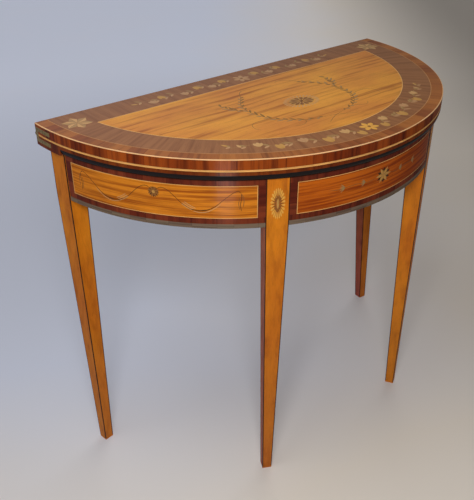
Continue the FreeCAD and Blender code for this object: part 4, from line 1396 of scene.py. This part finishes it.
class OBJECT_OT_demilune_stage(bpy.types.Operator):
    """Sets the floor, the soft lights and the camera"""
    bl_idname = "object.demilune_stage"
    bl_label = "Stage"

    # Camera that matches the photograph: place in metres, heading, dip and roll in radians, focal length in
    # pixels, where its axis meets the picture, the picture's size, and the sensor's width in millimetres
    PLACE = (-0.94951, CENTRE_Y - 1.16645, 1.21672)
    HEADING, DIP, ROLL = 0.70714, 0.5507, -0.00523
    FOCAL = 698.94
    AXIS = (243.4, 249.48)
    PICTURE = (474, 500)
    SENSOR = 36.0
    # Level directions to the picture's right and into its depth
    ACROSS, AHEAD = (0.76, -0.65, 0.0), (0.65, 0.76, 0.0)
    # Floor, in metres to the right and ahead: half its width and its steps, where its painted light turns
    # from cool to warm, where its front turns to painted warm light and how far, where painted shade darkens
    # it behind and beside the table; clouds in a metre and their share; how far off its glow grows, the
    # glow's share by the table, and the glow; fibres in a metre and its roughness
    FLOOR_HALF, FLOOR_STEPS = 9.0, 19
    WARM_ACROSS, WARM_FRONT = (-0.6, 0.9), (0.1, -0.45, 0.0, 0.7)
    BEHIND, BESIDE = ((0.2, 1.5), (0.4, 2.2)), ((0.2, 1.9), (-0.8, 0.8))
    CLOUDS, CLOUD_SHARE = 2.2, 0.3
    GLOW_RANGE, NEAR_GLOW, GLOW = (0.6, 3.0), 0.27, 0.42
    FIBRES, ROUGHNESS = 900.0, 0.7
    # Backdrop: where it dims, as shares of a ray's direction to the right and ahead
    BACKDROP_DIMS = ((-0.25, 0.25), (0.0, 0.5))
    # Lights: kind, place and aim in metres, power, colour, and width in metres or angle in radians
    LAMPS = {
        "key_light": ("AREA", (-1.02, -0.94, 1.45), (-0.02, 0.0, 0.5), 14.5, (1.0, 0.98, 0.95),
                      {"size": 0.5}),
        "top_light": ("AREA", (-0.8, 0.1, 2.6), (-0.25, 0.12, 0.74), 12.0, (0.98, 0.99, 1.0), {"size": 1.0}),
        "low_glint": ("AREA", (-0.88, -0.80, 0.25), (-0.3, -0.1, 0.7), 0.5, (1.0, 1.0, 1.0), {"size": 0.18}),
        "back_light": ("SUN", (2.0, 1.4, 1.1), (0.0, 0.0, 0.45), 1.3, (1.0, 0.97, 0.93), {"angle": 0.9}),
    }
    # The glint shows in the polish alone, and the back light doesn't show there
    UNSEEN = {"low_glint": ("visible_camera", "visible_diffuse"), "back_light": ("visible_glossy",)}

    def execute(self, context):
        scene = context.scene
        scene.view_settings.view_transform = "Standard"
        self.floor(scene)
        self.camera(scene)
        self.world(scene)
        for name, values in self.LAMPS.items():
            lamp = self.lamp(scene, name, *values)
            for rays in self.UNSEEN.get(name, ()):
                setattr(lamp, rays, False)
        return {"FINISHED"}

    def level_parts(self, tree, vector):
        """How far a vector goes to the picture's right and into its depth."""
        return [vectors(tree, "DOT_PRODUCT", vector, heading, "Value")
                for heading in (self.ACROSS, self.AHEAD)]

    @staticmethod
    def both_ramps(tree, across, ahead, limits):
        """Product of a ramp to the right and a ramp ahead."""
        return times(tree, ramp(tree, across, *limits[0]), ramp(tree, ahead, *limits[1]))

    @staticmethod
    def seen_directly(tree):
        """Mask of the rays from the camera, and of those that metal, polish or glass send on."""
        path = tree.nodes.new("ShaderNodeLightPath").outputs
        sent_on = plus(tree, path["Is Glossy Ray"], path["Is Transmission Ray"])
        return plus(tree, path["Is Camera Ray"], sent_on, clamp=True)

    def floor(self, scene):
        """Plain floor: a flat grid at the feet, which glows a little where it is seen far from the table."""
        line = np.linspace(-self.FLOOR_HALF, self.FLOOR_HALF, self.FLOOR_STEPS)
        across, depth = crossed(line, line)
        points = stacked(across, depth, np.zeros_like(across))
        piece = mesh_object("floor", [(points, points[..., :2])], CREASE)
        finish, tree, sockets, coordinates = new_material("floor_paper")
        place, tints = coordinates["Object"], scene.demilune_colours
        across, ahead = self.level_parts(tree, place)
        cloud = minus(tree, noise(tree, place, self.CLOUDS, 4.0), 0.5)
        # Painted light: the floor turns from cool light on the left to warm light on the right and in front
        warm = plus(tree, ramp(tree, across, *self.WARM_ACROSS), times(tree, cloud, self.CLOUD_SHARE))
        warm = plus(tree, warm, ramp(tree, ahead, *self.WARM_FRONT), clamp=True)
        shade = blend_colour(tree, warm, rgba(tints.floor_cool), rgba(tints.floor_warm))
        # Painted shade: the floor's colour darkens behind and beside the table
        dim = maths(tree, "MAXIMUM", *(self.both_ramps(tree, across, ahead, limits)
                                       for limits in (self.BEHIND, self.BESIDE)))
        shade = blend_colour(tree, dim, shade, rgba(tints.floor_painted_shade))
        away = vectors(tree, "LENGTH", place, output="Value")
        far = times(tree, self.seen_directly(tree), ramp(tree, away, *self.GLOW_RANGE, self.NEAR_GLOW, 1.0))
        glow = blend_colour(tree, far, (0.0, 0.0, 0.0, 1.0), shade)
        for name, value in (("Base Color", shade), ("Roughness", self.ROUGHNESS), ("Emission Color", glow),
                            ("Emission Strength", self.GLOW)):
            fill(tree, sockets[name], value)
        set_relief(tree, sockets, noise(tree, place, self.FIBRES, 2.0), FLOOR_RELIEF)
        piece.data.materials.append(finish)

    def camera(self, scene):
        """Camera axes from the heading, dip and roll: forward, right and up."""
        turn = math.sin(self.HEADING), math.cos(self.HEADING)
        forward = np.array([turn[0] * math.cos(self.DIP), turn[1] * math.cos(self.DIP), -math.sin(self.DIP)])
        level = np.array([turn[1], -turn[0], 0.0])
        plumb = np.cross(forward, level)
        right = math.cos(self.ROLL) * level + math.sin(self.ROLL) * plumb
        down = -math.sin(self.ROLL) * level + math.cos(self.ROLL) * plumb
        matrix = np.eye(4)
        matrix[:3, :3] = np.stack([right, -down, -forward], axis=1)
        matrix[:3, 3] = self.PLACE
        longest = max(self.PICTURE)
        data = bpy.data.cameras.new("camera")
        data.sensor_width = self.SENSOR
        data.lens = self.FOCAL / longest * self.SENSOR
        data.shift_x = ((self.PICTURE[0] - 1) / 2 - self.AXIS[0]) / longest
        data.shift_y = (self.AXIS[1] - (self.PICTURE[1] - 1) / 2) / longest
        camera = bpy.data.objects.new("camera", data)
        camera.matrix_world = Matrix(matrix.tolist())
        scene.collection.objects.link(camera)
        scene.camera = camera

    def world(self, scene):
        """Dim light from all round, with a pale backdrop for the camera and for reflections."""
        world = bpy.data.worlds.new("studio")
        world.use_nodes = True
        tree = world.node_tree
        tints = scene.demilune_colours
        way = tree.nodes.new("ShaderNodeTexCoord").outputs["Generated"]
        dim = self.both_ramps(tree, *self.level_parts(tree, way), self.BACKDROP_DIMS)
        pale = blend_colour(tree, dim, rgba(tints.backdrop), rgba(tints.backdrop_dim))
        shade = blend_colour(tree, self.seen_directly(tree), rgba(tints.ambient), pale)
        fill(tree, tree.nodes["Background"].inputs["Color"], shade)
        scene.world = world

    @staticmethod
    def lamp(scene, name, kind, place, target, power, tint, shape):
        """Soft light that faces a target."""
        data = bpy.data.lights.new(name, kind)
        data.energy = power
        data.color = tint
        for part, value in shape.items():
            setattr(data, part, value)
        lamp = bpy.data.objects.new(name, data)
        lamp.location = place
        lamp.rotation_euler = (Vector(target) - Vector(place)).to_track_quat("-Z", "Y").to_euler()
        scene.collection.objects.link(lamp)
        return lamp


OPERATORS = (
    OBJECT_OT_demilune_top,
    OBJECT_OT_demilune_edges,
    OBJECT_OT_demilune_frieze,
    OBJECT_OT_demilune_legs,
    OBJECT_OT_demilune_carcase,
    OBJECT_OT_demilune_hardware,
    OBJECT_OT_demilune_field_inlay,
    OBJECT_OT_demilune_band_inlay,
    OBJECT_OT_demilune_frieze_inlay,
    OBJECT_OT_demilune_leg_fans,
    OBJECT_OT_demilune_stage,
)


class VIEW3D_PT_demilune(bpy.types.Panel):
    """Lists the table's sizes, colours and steps"""
    bl_idname = "VIEW3D_PT_demilune"
    bl_label = "Half-round folding table"
    bl_space_type = "VIEW_3D"
    bl_region_type = "UI"
    bl_category = "Table"

    def draw(self, context):
        for operator in OPERATORS:
            self.layout.operator(operator.bl_idname)
        for group in (context.scene.demilune_sizes, context.scene.demilune_colours):
            for name in group.bl_rna.properties.keys():
                if name not in {"rna_type", "name"}:
                    self.layout.prop(group, name)


CLASSES = (DemiluneSizes, DemiluneColours, *OPERATORS, VIEW3D_PT_demilune)


def register():
    for cls in CLASSES:
        bpy.utils.register_class(cls)
    bpy.types.Scene.demilune_sizes = bpy.props.PointerProperty(type=DemiluneSizes)
    bpy.types.Scene.demilune_colours = bpy.props.PointerProperty(type=DemiluneColours)


def unregister():
    del bpy.types.Scene.demilune_colours
    del bpy.types.Scene.demilune_sizes
    for cls in reversed(CLASSES):
        bpy.utils.unregister_class(cls)


def main():
    register()
    for operator in OPERATORS:
        getattr(bpy.ops.object, operator.bl_idname.split(".")[1])()


if __name__ == "__main__":
    main()
